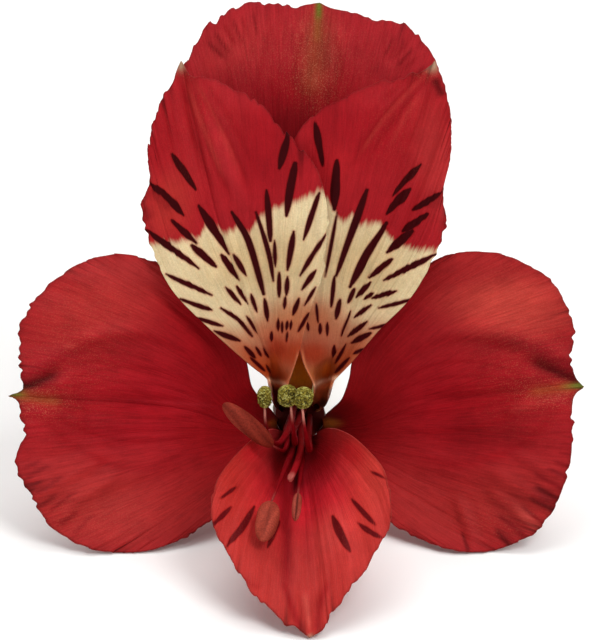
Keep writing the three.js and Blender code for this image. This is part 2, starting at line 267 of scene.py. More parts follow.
def smoothstep(low, high, x):
    share = np.clip((x - low) / (high - low), 0, 1)
    return share * share * (3 - 2 * share)


def mixed(first, second, share):
    """A value or colour between two, where a share of 0 gives the first and 1 the second."""
    return first + (second - first) * share


# %% [markdown]
# ## Uneven margins
# A living margin is never a clean curve: it is finely scalloped, with a torn notch here and
# there. A seeded run of random values, smoothed between its steps, wanders like that and is the
# same on every run.

# %% Make seeded unevenness
WANDER_STEPS = 4096


def wander(x, step, seed):
    """Smooth random values from -1 to 1 that change about once in every step of x."""
    values = np.random.default_rng(seed).uniform(-1, 1, WANDER_STEPS)
    place = np.asarray(x, float) / step + WANDER_STEPS // 2
    i = np.floor(place).astype(int)
    return mixed(values[i], values[i + 1], smoothstep(0, 1, place - i))


# %% [markdown]
# ## The six tepals
# A tepal is a thin sheet with four edges. Going round it as it is seen from the front, left runs
# from the ovary up its left edge to the shoulder, left_rim from there to the tip, right_rim from
# the tip to the right shoulder, and right up its right edge from the ovary. keel is how far the
# midline sinks behind the chord between the edges, from the foot to the tip, lobes how far the
# two halves bulge forward, and ripple how far the rim waves. All are in millimetres.

# %% Give the tepals their outlines
SIDE_FORM = {
    "keel": [0.45, 0.8, 1.6, 2.2, 2, 1.4, 0.6],
    "lobes": [0, 0, 0.2, 0.6, 1, 1.1, 0.5],
    "ripple": 0.5,
}
UPPER_INNER_FORM = {
    "keel": [0.7, 0.85, 1.2, 1, 0.7, 0.4, 0],
    "lobes": [0, 0, 0, 0, 0.2, 0.5, 0.4],
    "ripple": 0.3,
}
TEPALS = {
    "outer_tepal_top": {
        "left": [[-1.2, 2.25, 0], [-1.35, 3.5, 4], [-1.5, 4.8, 7], [-2.3, 7.4, 9.2],
                 [-5.6, 12.5, 10.9], [-10.3, 18.6, 12.2], [-13.8, 26.6, 13.6]],
        "left_rim": [[-13.3, 31.7, 14.3], [-11.4, 36.1, 14.8], [-9.1, 39.6, 15], [-6.4, 41.4, 15],
                     [-2.6, 41.7, 15], [0.7, 41.5, 14.9]],
        "tip": [2, 41.8, 15.2],
        "right_rim": [[3.3, 41.4, 14.9], [5.4, 40.8, 15], [7.4, 40.1, 15], [9.2, 40.1, 15],
                      [11.9, 38.5, 14.8], [13.7, 36, 14.6], [14.3, 31.2, 14.2]],
        "right": [[1.2, 2.25, 0], [1.35, 3.5, 4], [1.5, 4.8, 7], [2.3, 7.4, 9.2],
                  [5.6, 12.5, 10.9], [10.3, 18.6, 12.2], [14.1, 26.2, 13.6]],
        "keel": [0.3, 0.5, 0.5, 0.4, 0.2, 0, -0.2],
        "lobes": [0, 0, 0, 0, 0.4, 0.6, 0.3],
        "ripple": 0.45,
    },
    "outer_tepal_left": {
        "left": [[-1.6, -1.75, 0], [-2.2, -2.8, 4], [-3.3, -4.3, 8], [-4.7, -6, 11.4],
                 [-6.5, -8.2, 14.2], [-8.9, -10.3, 16.2], [-11.2, -11.9, 17.3]],
        "left_rim": [[-14, -13, 17.9], [-17, -13.5, 18.1], [-21.5, -13, 18.3], [-25.4, -10.3, 18.6],
                     [-27.9, -6.2, 19], [-28.3, -4.1, 19.1], [-27.5, -0.8, 19.6], [-27.9, 1.8, 19.7]],
        "tip": [-28.95, 2.3, 19.9],
        "right_rim": [[-27.9, 2.8, 19.7], [-27.8, 5.5, 19.2], [-28.1, 8.8, 18.8], [-26.6, 11.8, 18.2],
                      [-24.2, 14.1, 17.6], [-21.2, 15.9, 16.8], [-18.4, 16.4, 16.2]],
        "right": [[-2.3, -0.45, 0], [-2.75, 0.3, 4], [-3.7, 1.4, 7], [-4.9, 3, 9.2],
                  [-5.3, 4.9, 10.4], [-5.6, 6.3, 11], [-6.6, 8.6, 11.9], [-9.4, 12, 13.2],
                  [-14.5, 15.7, 15]],
        **SIDE_FORM,
    },
    "outer_tepal_right": {
        "left": [[2.3, -0.45, 0], [2.75, 0.2, 4], [3.4, 0.8, 7], [4.3, 1.8, 9.2], [5, 3.9, 10.4],
                 [5.25, 5.5, 10.9], [6.2, 8.1, 11.8], [9.4, 12.8, 13.4], [13.7, 16.2, 15]],
        "left_rim": [[17.5, 16.7, 16.1], [21, 16.2, 16.8], [24.2, 14.5, 17.6], [26.5, 12, 18.2],
                     [27.2, 9, 18.8], [27, 6, 19.2], [27.2, 4, 19.6]],
        "tip": [28.2, 3.2, 19.9],
        "right_rim": [[27.5, 2.4, 19.7], [27.2, -0.5, 19.6], [27, -4.2, 19.1], [26.1, -7.6, 18.6],
                      [24.2, -10.9, 18.3], [20.1, -13.1, 18.2], [16, -13.4, 18.1]],
        "right": [[1.6, -1.75, 0], [2.2, -2.8, 4], [3.3, -4.3, 8], [4.8, -6.2, 11.4],
                  [6.8, -8.5, 14.2], [9, -10.4, 16.2], [11.5, -12, 17.3]],
        **SIDE_FORM,
    },
    "inner_tepal_upper_left": {
        "left": [[-1.75, 0.3, 0], [-2.6, 1.05, 5], [-2.8, 2.4, 8.6], [-3.3, 3.8, 11],
                 [-5.1, 5.3, 12.6], [-9, 8.8, 14.8], [-13.2, 13.3, 16.8], [-15.4, 18.8, 18.2],
                 [-16, 21.4, 18.6]],
        "left_rim": [[-15.1, 23.4, 19.1], [-15.1, 27.4, 19.6], [-13.8, 31.8, 20], [-12.3, 34.6, 20]],
        "tip": [-11.9, 35.7, 20],
        "right_rim": [[-11, 34.4, 20], [-8, 33.5, 20.1], [-4.4, 31.7, 20.1], [-1, 28, 20.1],
                      [1.2, 25.7, 19.9], [2.5, 22.4, 19.6]],
        "right": [[-1.3, 0.85, 0], [-1.35, 1.7, 4.5], [-1.5, 2.6, 8.6], [-1.2, 3.4, 11],
                  [-0.2, 6.3, 13], [0.9, 10.4, 15.4], [2.3, 14.6, 17.6], [2.8, 19.6, 19.2]],
        **UPPER_INNER_FORM,
    },
    "inner_tepal_upper_right": {
        "left": [[1.3, 0.85, 0], [1.35, 1.7, 4.5], [1.5, 2.6, 8.6], [1.4, 3.3, 10.8],
                 [0.2, 5.8, 11.9], [-0.5, 10, 13.4], [-0.9, 15, 15], [-0.9, 20, 16.4]],
        "left_rim": [[-1, 25, 17.6], [-0.4, 28.4, 18.5], [2.5, 31, 19.3], [6.4, 33, 19.8],
                     [10.7, 34.2, 20], [12.8, 34.9, 20]],
        "tip": [13.5, 35.7, 20],
        "right_rim": [[14.1, 34.4, 20], [15, 30.8, 19.8], [15.1, 26.4, 19.4], [14.3, 22.8, 19]],
        "right": [[1.55, 0.35, 0], [2.6, 1.1, 5], [2.9, 2.4, 8.6], [3.4, 3.6, 11],
                  [5.1, 5.4, 12.6], [7.9, 8.7, 14.4], [11.1, 12, 16], [13.7, 16.5, 17.6],
                  [14.7, 19.8, 18.4]],
        **UPPER_INNER_FORM,
    },
    "inner_tepal_lower": {
        "left": [[0.9, -2.2, 0], [1.5, -2, 5], [2.2, -1.4, 10], [3, -1.1, 15], [4, -1.2, 19.5],
                 [5.3, -1.8, 23], [6.9, -3.2, 26], [8.2, -4.8, 28], [8.85, -7.1, 29.8]],
        "left_rim": [[8.85, -10.1, 31.1], [7.2, -13.25, 32.4], [5, -16.4, 33.7], [3.1, -18.5, 34.5],
                     [2.5, -19.9, 34.9]],
        "tip": [0.9, -20.95, 35.2],
        "right_rim": [[-0.5, -20.3, 34.9], [-2.1, -18.95, 34.6], [-4.7, -16.7, 33.9],
                      [-5.9, -15, 33.3], [-7.3, -12.6, 32.3], [-8.6, -10, 31.1]],
        "right": [[-0.9, -2.2, 0], [-1.5, -2, 5], [-2.2, -1.4, 10], [-3, -1.2, 15],
                  [-4, -1.6, 19.5], [-5.3, -2.5, 23], [-6.9, -4.1, 26], [-8.1, -5.8, 28.2],
                  [-8.65, -7.7, 30]],
        "keel": [0.4, 1.8, 3, 3.6, 3.2, 2.2, 1, 0.3],
        "lobes": [0, 0, 0, 0, 0.2, 0.3, 0.2],
        "ripple": 0.3,
    },
}
print("tepals:", len(TEPALS))

# %% [markdown]
# The sheet between the four edges could be a subdivision surface, but then its place would only
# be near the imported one. It is worked out point by point instead: rows run straight from edge
# to edge at the foot and take on the rim's outline near it, each row is bent to an arc as deep as
# the keel, and the lobes and ripples are added.

# %% Stretch the sheet between the edges
RIM_REACH = 2  # how late the rim's outline takes over from the two edges
RIPPLES = [(5, 0.6), (8, 1.9)]  # waves along the rim, and where each starts
RIPPLE_REACH = 5
NIBBLES, NIBBLE_DEPTH, NIBBLE_REACH = 9, 0.15, 16
STEP_ALONG = 0.02  # of the length, to find the way along the sheet


def tepal_surface(shape, s, t):
    """The middle surface's points, and the ways across, along and behind it, at s and t."""
    left_edge, right_edge = smooth_curve(shape["left"]), smooth_curve(shape["right"])
    shoulders = np.array([shape["left"][-1], shape["right"][-1]], float)
    before = smooth_curve([shape["left"][-1], *shape["left_rim"], shape["tip"]])
    after = smooth_curve([shape["tip"], *shape["right_rim"], shape["right"][-1]])
    keel, lobes = run_of(shape["keel"])(t)[:, None], run_of(shape["lobes"])(t)[:, None]

    def sheet(s, t):
        first_half = (s < 0.5)[:, None]
        rim = np.where(first_half, before(np.minimum(1, 2 * s)), after(np.maximum(0, 2 * s - 1)))
        bow = rim - shoulders[0] * (1 - s[:, None]) - shoulders[1] * s[:, None]
        share = s[None, :, None]
        rows = left_edge(t)[:, None] * (1 - share) + right_edge(t)[:, None] * share
        return rows + bow[None] * t[:, None, None] ** RIM_REACH

    points = sheet(s, t)
    across = right_edge(t) - left_edge(t)
    chord = np.linalg.norm(across, axis=1)[:, None]
    across = unit(across)[:, None]
    middle = np.array([0.5])
    ahead, astern = np.minimum(1, t + STEP_ALONG), np.maximum(0, t - STEP_ALONG)
    along = unit(sheet(middle, ahead) - sheet(middle, astern))
    behind = unit(np.cross(along, across))

    half = np.maximum(2 * np.arctan(2 * np.abs(keel) / chord), 1e-4)
    radius = chord / 2 / np.sin(half)
    angle = half * (2 * s[None] - 1)
    points += across * (radius * np.sin(angle) - chord * (s[None] - 0.5))[..., None]
    points += behind * (np.sign(keel) * radius * (np.cos(angle) - np.cos(half)))[..., None]

    bulge = lobes * np.sin(2 * np.pi * s[None]) ** 2
    wave = sum(np.sin(2 * np.pi * count * s + start) for count, start in RIPPLES)
    wave = shape["ripple"] / len(RIPPLES) * wave[None] * t[:, None] ** RIPPLE_REACH
    bite = NIBBLE_DEPTH * np.sin(2 * np.pi * NIBBLES * s) * np.sin(np.pi * s)
    points += behind * (wave - bulge)[..., None]
    points += along * (bite[None] * t[:, None] ** NIBBLE_REACH)[..., None]
    return points, across, along, behind


# %% [markdown]
# ## Lines and folds on a tepal
# Streaks, folds and the edge of the cream patch are given where the photograph shows them, in
# its pixels. Each is a broken line, and the distance from every point of the sheet to it, as
# seen from the front, makes either a mark or a fold.

# %% Measure distances to a line
LINE_PIECES = 4  # straight pieces for each gap between two of a line's points
FADE = 0.25  # of a line's length, over which each of its ends fades out
STREAK_BREADTH = 1.28  # a streak with its soft edge, over its dark core, which was read off
STREAK_BLUNTNESS = 0.34  # 1 would be a slim spindle, and 0 a bar
STREAK_UNEVENNESS, STREAK_BULGES = 0.12, 3


def distance_to_line(places, pixels):
    """Distance in mm from each place to a smooth line, and how far along the line, from 0 to 1."""
    line = from_pixels(pixels)
    if len(line) > 2:
        line = smooth_curve(line)(np.linspace(0, 1, LINE_PIECES * (len(line) - 1) + 1))
    lengths = np.linalg.norm(np.diff(line, axis=0), axis=1)
    starts = np.concatenate([[0], np.cumsum(lengths)])
    nearest = np.full(places.shape[:-1], np.inf)
    share = np.zeros(places.shape[:-1])
    for start, end, length, begun in zip(line, line[1:], lengths, starts):
        way = (end - start) / length
        run = np.clip((places - start) @ way, 0, length)
        distance = np.linalg.norm(places - start - run[..., None] * way, axis=-1)
        closer = distance < nearest
        nearest = np.where(closer, distance, nearest)
        share = np.where(closer, (begun + run) / starts[-1], share)
    return nearest, share


def fading_ends(share):
    """Rises from 0 at a line's start, and falls to 0 again at its end."""
    return smoothstep(0, FADE, share) * smoothstep(0, FADE, 1 - share)


def depth_in_streaks(places, streaks):
    """How deep inside the nearest blunt-ended streak each place is, in mm, or less than 0."""
    deepest = np.full(places.shape[:-1], -1.0)
    for number, (*pixels, width) in enumerate(streaks):
        distance, share = distance_to_line(places, pixels)
        spindle = np.sin(np.pi * np.clip(share, 0.03, 0.97)) ** STREAK_BLUNTNESS
        uneven = 1 + STREAK_UNEVENNESS * wander(share * STREAK_BULGES, 1, number)
        half_width = STREAK_BREADTH * width / PIXELS_PER_MM / 2
        deepest = np.maximum(deepest, half_width * spindle * uneven - distance)
    return deepest


def fold(places, pixels, height, width):
    """Height in mm of a fold that rises along a line and fades out at its ends."""
    distance, share = distance_to_line(places, pixels)
    return height * fading_ends(share) * np.exp(-((distance / width) ** 2))


# %% [markdown]
# ## Where the colours lie
# The pigment is brushed on in soft oval washes, each with its middle, its two radii and its
# slope in the photograph, a colour and a strength. The sheet carries the result as a colour at
# every point, which the material then breaks up with veins and grain.
# Besides the petals' own colours, many washes and lines are painted light and shade: darker in the throat,
# in folds, furrows, pleats and hollows and where one tepal shades another, and lighter on lobes and ridges
# that face the light and where the sheet's own shade falls deep.

# %% Name the petal colours
CRIMSON = "#971a20"
RED = "#a32128"
WINE = "#860912"
SHADE = "#6d0a10"
# Painted shade, the darkest: in the margins' wrinkles, beside a tip and on a claw's far side
DEEP_SHADE = "#4a0407"
# Painted shade inside the claws' rolled tubes
TUBE_SHADE = "#2a0504"
LEAF_GREEN = "#66742a"
CREAM = "#d6c299"
STRAW = "#c2a371"
PEACH = "#b66a42"
# Painted highlight along the ridges beside the folds
RIDGE_HIGHLIGHT = "#b0332f"
ORANGE_BROWN = "#a34522"
FLESH = "#ad6040"
# The rolled claw's rust-brown skin, lightened as painted light on its lit side
CLAW_SKIN_AND_LIGHT = "#e07440"
# Painted highlight along the lip of each claw's mouth
LIP_HIGHLIGHT = "#ffc8a0"
HUSK = "#b9a586"
# Painted shade deep in the throat
THROAT_SHADE = "#6a0609"
# Painted shade in the fold above a green tip
FOLD_SHADE = "#3c0206"
# Painted shade along the furrows
FURROW_SHADE = "#86101a"
# Painted shade in the hollows between the margin's waves
HOLLOW_SHADE = "#640a10"
CLAW_RIDGE = "#cf7a52"
WASH_EDGE = 1.4  # how clear the rim of a wash is


def oval(places, x, y, wide, high, slope):
    """The weight of a soft oval patch: 1 in its middle, falling to 0 past its rim."""
    offset = (places - from_pixels((x, y))[0]) * PIXELS_PER_MM
    turned = math.radians(slope)
    along = offset @ [math.cos(turned), math.sin(turned)]
    aside = offset @ [-math.sin(turned), math.cos(turned)]
    return np.exp(-(((along / wide) ** 2 + (aside / high) ** 2) ** WASH_EDGE))


def brush(places, colours, washes):
    """Brushes soft ovals over the colours, each with its strength."""
    for *patch, colour, strength in washes:
        colours = mixed(colours, linear(colour), strength * oval(places, *patch)[..., None])
    return colours


def brush_lines(places, colours, lines):
    """Draws soft lines, each with its pixels, its half width in pixels, a colour and a strength."""
    for pixels, width, colour, strength in lines:
        distance, share = distance_to_line(places, pixels)
        weight = strength * fading_ends(share) * np.exp(-((distance * PIXELS_PER_MM / width) ** 2))
        colours = mixed(colours, linear(colour), weight[..., None])
    return colours


# %% Place the washes, lines, folds and streaks
# Folds and ridges of the upper inner tepals, which are both raised and drawn: the folds dark as painted
# shade, the ridges light as painted highlight
LEFT_FOLD = (178, 52, 190, 88, 206, 133, 220, 173, 236, 212)
LEFT_SIDE_FOLD = (183, 56, 200, 92, 230, 143, 246, 182, 254, 205)
LEFT_RIDGE = (182, 70, 196, 108, 212, 148, 228, 188)
RIGHT_FOLD = (440, 52, 412, 84, 386, 114, 366, 142, 346, 176)
RIGHT_SIDE_FOLD = (438, 64, 406, 104, 384, 134, 362, 170)
RIGHT_RIDGE = (430, 70, 400, 100, 376, 130, 354, 164)

LOOKS = {
    "outer_tepal_top": {
        "base": RED,
        "washes": [
            (300, 98, 75, 34, 0, "#930a17", 0.85),
            # painted shade in the V under the inner tepals' rims
            (293, 128, 48, 24, 0, "#780a12", 0.75),
            (235, 45, 45, 25, 30, "#a82b2b", 0.45),
            (319, 50, 20, 42, 0, "#963a2c", 0.5),
            (300, 260, 90, 110, 0, SHADE, 0.8),
            (299, 372, 26, 22, 0, "#c88017", 0.95),
            # painted light at the top of the wedge between the inner claws
            (299, 347, 12, 9, 0, "#f5702a", 0.9),
            # painted shade down in the throat
            (299, 404, 30, 16, 0, "#4a1206", 0.9),
        ],
        "lines": [
            ((319, -6, 319, 4, 319, 12, 318, 22), 3, "#5f7a22", 0.95),
            ((319, 8, 318, 24, 317, 46), 4.5, "#7d5a22", 0.6),
            ((320, 12, 317, 40, 313, 70, 309, 104), 10, "#8c3a20", 0.55),
            ((305, 26, 299, 50, 292, 80), 2.5, WINE, 0.5),
            ((334, 26, 340, 56, 342, 84), 2.5, WINE, 0.4),
            ((272, 22, 262, 60, 255, 95), 3, WINE, 0.25),
            ((370, 36, 372, 66, 366, 86), 3, WINE, 0.25),
            # dark ticks at the rim: painted shade in the margin's wrinkles
            ((222, 22, 236, 48), 2, WINE, 0.8),
            ((205, 40, 226, 60), 2, SHADE, 0.8),
            ((240, 14, 249, 40), 2, WINE, 0.4),
            ((213, 30, 232, 56), 1.6, SHADE, 0.8),
            ((231, 17, 244, 46), 1.6, SHADE, 0.7),
            ((252, 9, 258, 38), 1.6, SHADE, 0.6),
            ((396, 34, 384, 58), 1.6, SHADE, 0.6),
            ((414, 47, 396, 68), 1.6, SHADE, 0.7),
            ((427, 64, 406, 84), 1.6, SHADE, 0.7),
            ((407, 42, 392, 62), 2, WINE, 0.4),
            ((420, 55, 400, 72), 2, WINE, 0.4),
        ],
        "folds": [
            ((320, 4, 319, 40, 316, 90), -0.5, 0.9),
            ((300, 20, 304, 60, 306, 100), 0.25, 0.8),
            ((338, 20, 334, 60, 326, 100), 0.25, 0.8),
            ((222, 18, 240, 55), -0.2, 0.5),
            ((205, 38, 230, 66), -0.2, 0.5),
            ((407, 40, 388, 66), -0.2, 0.5),
        ],
        "dust": [(316, 66, 24, 46, 0, 1.0), (318, 16, 8, 12, 0, 0.5), (300, 60, 110, 45, 0, 0.4)],
    },
    "outer_tepal_left": {
        "base": CRIMSON,
        "washes": [
            # lighter coral upper lobe: its own colour, and painted light where it faces the light
            (100, 303, 78, 40, 18, "#a82c29", 0.7),
            (125, 268, 80, 14, -4, "#a83030", 0.6),
            (95, 505, 95, 50, -12, "#9f2a27", 0.8),
            (195, 505, 50, 40, 40, "#901c1b", 0.6),
            # darker mid band: its own crimson, and painted shade where the sheet turns away from the light
            (130, 400, 96, 52, 2, "#9c111c", 0.85),
            (92, 424, 42, 17, -10, "#840e17", 0.6),
            # painted shadow of the upper inner tepal
            (205, 330, 62, 36, -55, "#980b14", 0.8),
            # painted shade of the throat
            (232, 405, 40, 66, 0, "#8a0b12", 0.8),
            (200, 442, 30, 18, -20, "#860a10", 0.5),
            (272, 420, 28, 34, 0, THROAT_SHADE, 0.5),
            # the tepal's olive base, lightened as painted light in the throat's shade
            (279, 423, 10, 5, 0, "#c4681c", 0.95),
        ],
        "lines": [
            # painted shade in the fold above the green tip
            ((-14, 401, 8, 393, 28, 385, 46, 377, 68, 367), 7, FOLD_SHADE, 0.95),
            ((30, 380, 62, 368, 96, 362, 130, 366), 4, WINE, 0.5),
            ((30, 378, 75, 349, 110, 338, 150, 338, 185, 353, 215, 385), 5, WINE, 0.55),
            ((30, 402, 62, 436, 105, 464, 150, 468, 195, 450), 5, WINE, 0.5),
            ((30, 400, 70, 424, 120, 440, 170, 440, 215, 428), 2.2, WINE, 0.6),
            ((32, 398, 80, 410, 130, 417, 180, 418, 225, 416), 2.0, WINE, 0.5),
            ((36, 396, 90, 397, 150, 400, 230, 408), 2.0, "#a8202a", 0.5),
            ((40, 392, 90, 383, 150, 384, 220, 400), 2.0, WINE, 0.5),
            ((50, 388, 100, 370, 150, 368, 210, 388), 2.0, WINE, 0.5),
            # painted shade in the furrow above the tip
            ((10, 386, 36, 370, 60, 357, 95, 348), 7, FURROW_SHADE, 0.5),
            # painted highlight on the ridge above it
            ((60, 348, 76, 345), 3, "#b23a33", 0.4),
            ((-8, 393, 6, 393, 16, 394, 32, 396), 3.2, LEAF_GREEN, 0.97),
            ((14, 395, 36, 398, 66, 402), 6, "#9e4a26", 0.75),
            # dark ticks at the lower margin: painted shade in its wrinkles
            ((18, 472, 44, 459), 1.8, SHADE, 0.6),
            ((20, 482, 52, 464), 2.2, SHADE, 0.65),
            ((24, 492, 44, 480), 2, DEEP_SHADE, 0.6),
            ((30, 499, 66, 474), 1.8, SHADE, 0.6),
            ((36, 508, 58, 493), 2.4, DEEP_SHADE, 0.6),
            ((44, 515, 80, 488), 1.8, SHADE, 0.6),
            ((56, 527, 78, 510), 2.2, SHADE, 0.6),
            ((70, 538, 96, 512), 1.8, SHADE, 0.5),
        ],
        "folds": [
            ((4, 394, 60, 398, 120, 402, 200, 404), -0.55, 0.9),
            ((2, 394, 24, 386, 44, 378, 70, 368), -0.5, 0.7),
            ((10, 384, 36, 366, 70, 349, 120, 334, 170, 340), 0.5, 1.0),
            ((20, 406, 50, 414, 90, 424), 0.35, 0.7),
            ((60, 446, 120, 470, 190, 455), 0.3, 1.1),
            ((24, 505, 60, 480, 110, 455), 0.35, 0.6),
            ((50, 532, 80, 500, 125, 470), 0.35, 0.6),
        ],
        "dust": [(42, 402, 34, 14, 5, 0.9), (85, 310, 60, 60, 0, 0.25), (90, 520, 70, 30, 0, 0.3),
                 (60, 380, 60, 60, 0, 0.3)],
    },
    "outer_tepal_right": {
        "base": CRIMSON,
        "washes": [
            # lighter coral upper lobe: its own colour, and painted light where it faces the light
            (501, 298, 74, 36, -16, "#ba4036", 0.8),
            (465, 270, 76, 18, 4, "#951d20", 0.8),
            (440, 282, 34, 20, -10, "#8a181b", 0.6),
            (505, 502, 88, 46, 12, "#912220", 0.8),
            (410, 505, 50, 40, -40, "#a62d2b", 0.6),
            # darker mid band: its own crimson, and painted shade where the sheet turns away from the light
            (465, 400, 92, 48, -2, "#980e19", 0.85),
            # painted shadow of the upper inner tepal
            (390, 325, 62, 36, 55, "#860b12", 0.8),
            # painted shade of the throat
            (362, 405, 38, 66, 0, "#7d090d", 0.8),
            (488, 434, 52, 24, 0, "#7a0b12", 0.75),
            (330, 420, 28, 34, 0, THROAT_SHADE, 0.5),
            # painted highlight on a ridge between the margin's hollows
            (530, 520, 18, 5, -45, "#b8443c", 0.5),
            # painted shade in a hollow of the margin
            (550, 503, 20, 7, -42, HOLLOW_SHADE, 0.7),
            # painted shade in the fold above the green tip
            (562, 341, 24, 12, 20, "#8a121a", 0.55),
            # painted shade in another hollow of the margin
            (509, 541, 17, 6, -50, HOLLOW_SHADE, 0.55),
            # the tepal's olive base, lightened as painted light in the throat's shade
            (326, 423, 13, 5, 0, "#e08a36", 0.95),
        ],
        "lines": [
            # painted shade in the fold above the green tip, spreading up the sheet
            ((608, 393, 588, 385, 568, 375, 548, 365, 520, 354), 8, FOLD_SHADE, 0.95),
            ((598, 386, 568, 367, 542, 353, 512, 344, 466, 344), 9, "#7c0a15", 0.7),
            ((562, 374, 520, 352, 485, 340, 448, 340, 415, 352, 385, 384), 5, WINE, 0.5),
            ((568, 396, 540, 430, 500, 456, 450, 464, 400, 446), 5, WINE, 0.5),
            ((560, 394, 520, 414, 470, 428, 420, 432, 380, 424), 2.2, WINE, 0.6),
            ((556, 391, 510, 401, 460, 410, 400, 414, 366, 414), 2.0, WINE, 0.5),
            ((550, 389, 500, 390, 440, 396, 366, 406), 2.0, WINE, 0.5),
            ((548, 386, 500, 377, 440, 378, 380, 396), 2.0, WINE, 0.5),
            ((540, 381, 490, 364, 440, 362, 390, 384), 2.0, WINE, 0.5),
            # painted highlight on a ridge
            ((574, 394, 540, 404, 505, 414), 4, "#a8322e", 0.35),
            ((600, 384, 586, 385, 574, 386, 556, 388), 3.2, LEAF_GREEN, 0.97),
            ((578, 387, 556, 389, 524, 393), 6, "#9a4220", 0.7),
            # dark ticks at the lower margin: painted shade in its wrinkles
            ((576, 456, 558, 452), 1.6, SHADE, 0.6),
            ((575, 468, 552, 461), 1.8, SHADE, 0.7),
            ((573, 481, 546, 468), 2.2, SHADE, 0.75),
            ((570, 493, 530, 471), 2.6, SHADE, 0.75),
            ((566, 503, 532, 485), 3.2, DEEP_SHADE, 0.85),
            ((560, 514, 528, 496), 2.6, DEEP_SHADE, 0.8),
            ((549, 528, 518, 504), 2, SHADE, 0.7),
            ((530, 540, 494, 512), 3, SHADE, 0.75),
            ((514, 550, 494, 528), 2.4, DEEP_SHADE, 0.75),
            ((470, 556, 462, 530), 2, DEEP_SHADE, 0.7),
        ],
        "folds": [
            ((588, 386, 530, 388, 470, 396, 400, 402), -0.55, 0.9),
            ((590, 386, 570, 379, 550, 371, 524, 360), -0.5, 0.7),
            ((584, 372, 555, 355, 520, 339, 480, 329, 430, 337), 0.5, 1.0),
            ((570, 398, 540, 408, 500, 416), 0.35, 0.7),
            ((530, 446, 470, 468, 400, 455), 0.3, 1.1),
            ((566, 480, 536, 465, 510, 452), 0.35, 0.5),
            ((556, 508, 515, 486, 485, 470), 0.45, 0.7),
            ((537, 530, 508, 504, 485, 488), 0.4, 0.6),
            ((478, 556, 468, 525, 456, 490), 0.35, 0.6),
        ],
        "dust": [(545, 393, 34, 14, -4, 0.9), (515, 310, 60, 60, 0, 0.25), (500, 520, 60, 30, 0, 0.25),
                 (530, 380, 60, 60, 0, 0.3)],
    },
    "inner_tepal_upper_left": {
        "base": "#9f1b22",
        "washes": [
            (168, 205, 24, 36, -12, "#ae3029", 0.7),
            (163, 140, 16, 34, -8, "#900f18", 0.7),
            (262, 150, 40, 50, 0, "#930b17", 0.7),
            (226, 152, 12, 46, 18, "#b42a30", 0.5),
            (225, 92, 50, 12, -15, "#a42229", 0.5),
            (290, 150, 25, 30, 0, "#8e1219", 0.6),
            (181, 63, 7, 8, 0, HUSK, 0.9),
        ],
        "lines": [
            # folds drawn dark as painted shade
            (LEFT_FOLD, 4, WINE, 0.8),
            (LEFT_SIDE_FOLD, 4, WINE, 0.65),
            ((177, 58, 184, 90, 194, 138, 206, 168, 220, 200), 3.5, WINE, 0.65),
            ((186, 62, 222, 105, 246, 148, 262, 186), 3, WINE, 0.4),
            # ridges drawn light as painted highlight
            (LEFT_RIDGE, 2.5, RIDGE_HIGHLIGHT, 0.5),
            ((186, 70, 208, 104, 226, 142, 242, 180), 2.5, RIDGE_HIGHLIGHT, 0.4),
            # painted shade in the rolled fold by the notch
            ((148, 186, 160, 198, 172, 212), 6, SHADE, 0.55),
            ((142, 206, 150, 222), 7, SHADE, 0.5),
        ],
        "throat": [
            (262, 262, 62, 36, 0, STRAW, 0.6),
            (300, 318, 46, 22, 0, PEACH, 0.9),
            (262, 332, 22, 14, 0, FLESH, 0.75),
            (240, 352, 38, 15, -40, FLESH, 0.9),
            (296, 354, 46, 28, 0, "#ae3a18", 0.97),
            (264, 366, 28, 14, -38, ORANGE_BROWN, 0.9),
            (278, 376, 24, 10, -15, "#a03c10", 0.9),
            (276, 348, 13, 13, 0, "#9c280f", 0.8),
        ],
        "throat_lines": [
            # painted highlight along the lip of the claw's mouth
            ((252, 374, 264, 380, 272, 380.5, 280, 381.5, 287, 385, 292, 392), 2.2, LIP_HIGHLIGHT, 1.0),
            ((299, 346, 297, 358, 294, 369, 290, 378, 284, 390), 1.2, CLAW_RIDGE, 0.8),
        ],
        # below the mouth: the claw darkened as painted shade, then painted light under the lip and in the
        # keel's fold
        "claw": [(276, 398, 8, 16, 0, "#6a1008", 0.95), (279, 383, 10, 4, -8, "#ff8c54", 0.95),
                 (274, 366, 7, 11, 0, "#e06226", 0.8)],
        "folds": [
            (LEFT_FOLD, -0.45, 0.5),
            (LEFT_SIDE_FOLD, -0.35, 0.5),
            ((177, 58, 184, 90, 194, 138, 206, 168), -0.3, 0.45),
            (LEFT_RIDGE, 0.3, 0.4),
            ((215, 110, 240, 170, 262, 240), 0.15, 0.9),
        ],
        "dust": [(183, 68, 10, 12, 0, 0.8), (200, 120, 50, 60, 0, 0.2)],
        "boundary": [140, 244, 150, 245, 162, 241, 175, 243, 183, 238, 197, 238, 203, 228, 215, 226,
                     221, 231, 228, 233, 238, 227, 250, 234, 258, 218, 268, 212, 285, 203, 295, 200,
                     305, 196, 312, 193, 320, 190, 330, 196],
        "streaks": [
            (171, 154, 195, 189, 6), (150, 183, 169, 199, 183, 215, 6), (171, 220, 196, 243, 5),
            (147, 230, 198, 268, 5), (191, 245, 215, 266, 6), (198, 206, 229, 253, 7),
            (166, 274, 211, 295, 4), (180, 299, 211, 310, 4), (221, 255, 239, 279, 6),
            (234, 254, 246, 275, 4), (225, 287, 240, 304, 4), (236, 286, 248, 303, 4),
            (251, 294, 257, 311, 4), (197, 318, 222, 326, 3.5), (220, 308, 238, 320, 251, 336, 4),
            (246, 316, 257, 333, 3), (214, 331, 239, 341, 4), (232, 212, 248, 238, 264, 293, 6),
            (256, 211, 269, 251, 274, 280, 4), (267, 190, 269, 213, 271, 240, 6),
            (275, 240, 276, 266, 4), (295, 163, 290, 192, 287, 215, 7), (289, 133, 280, 168, 6),
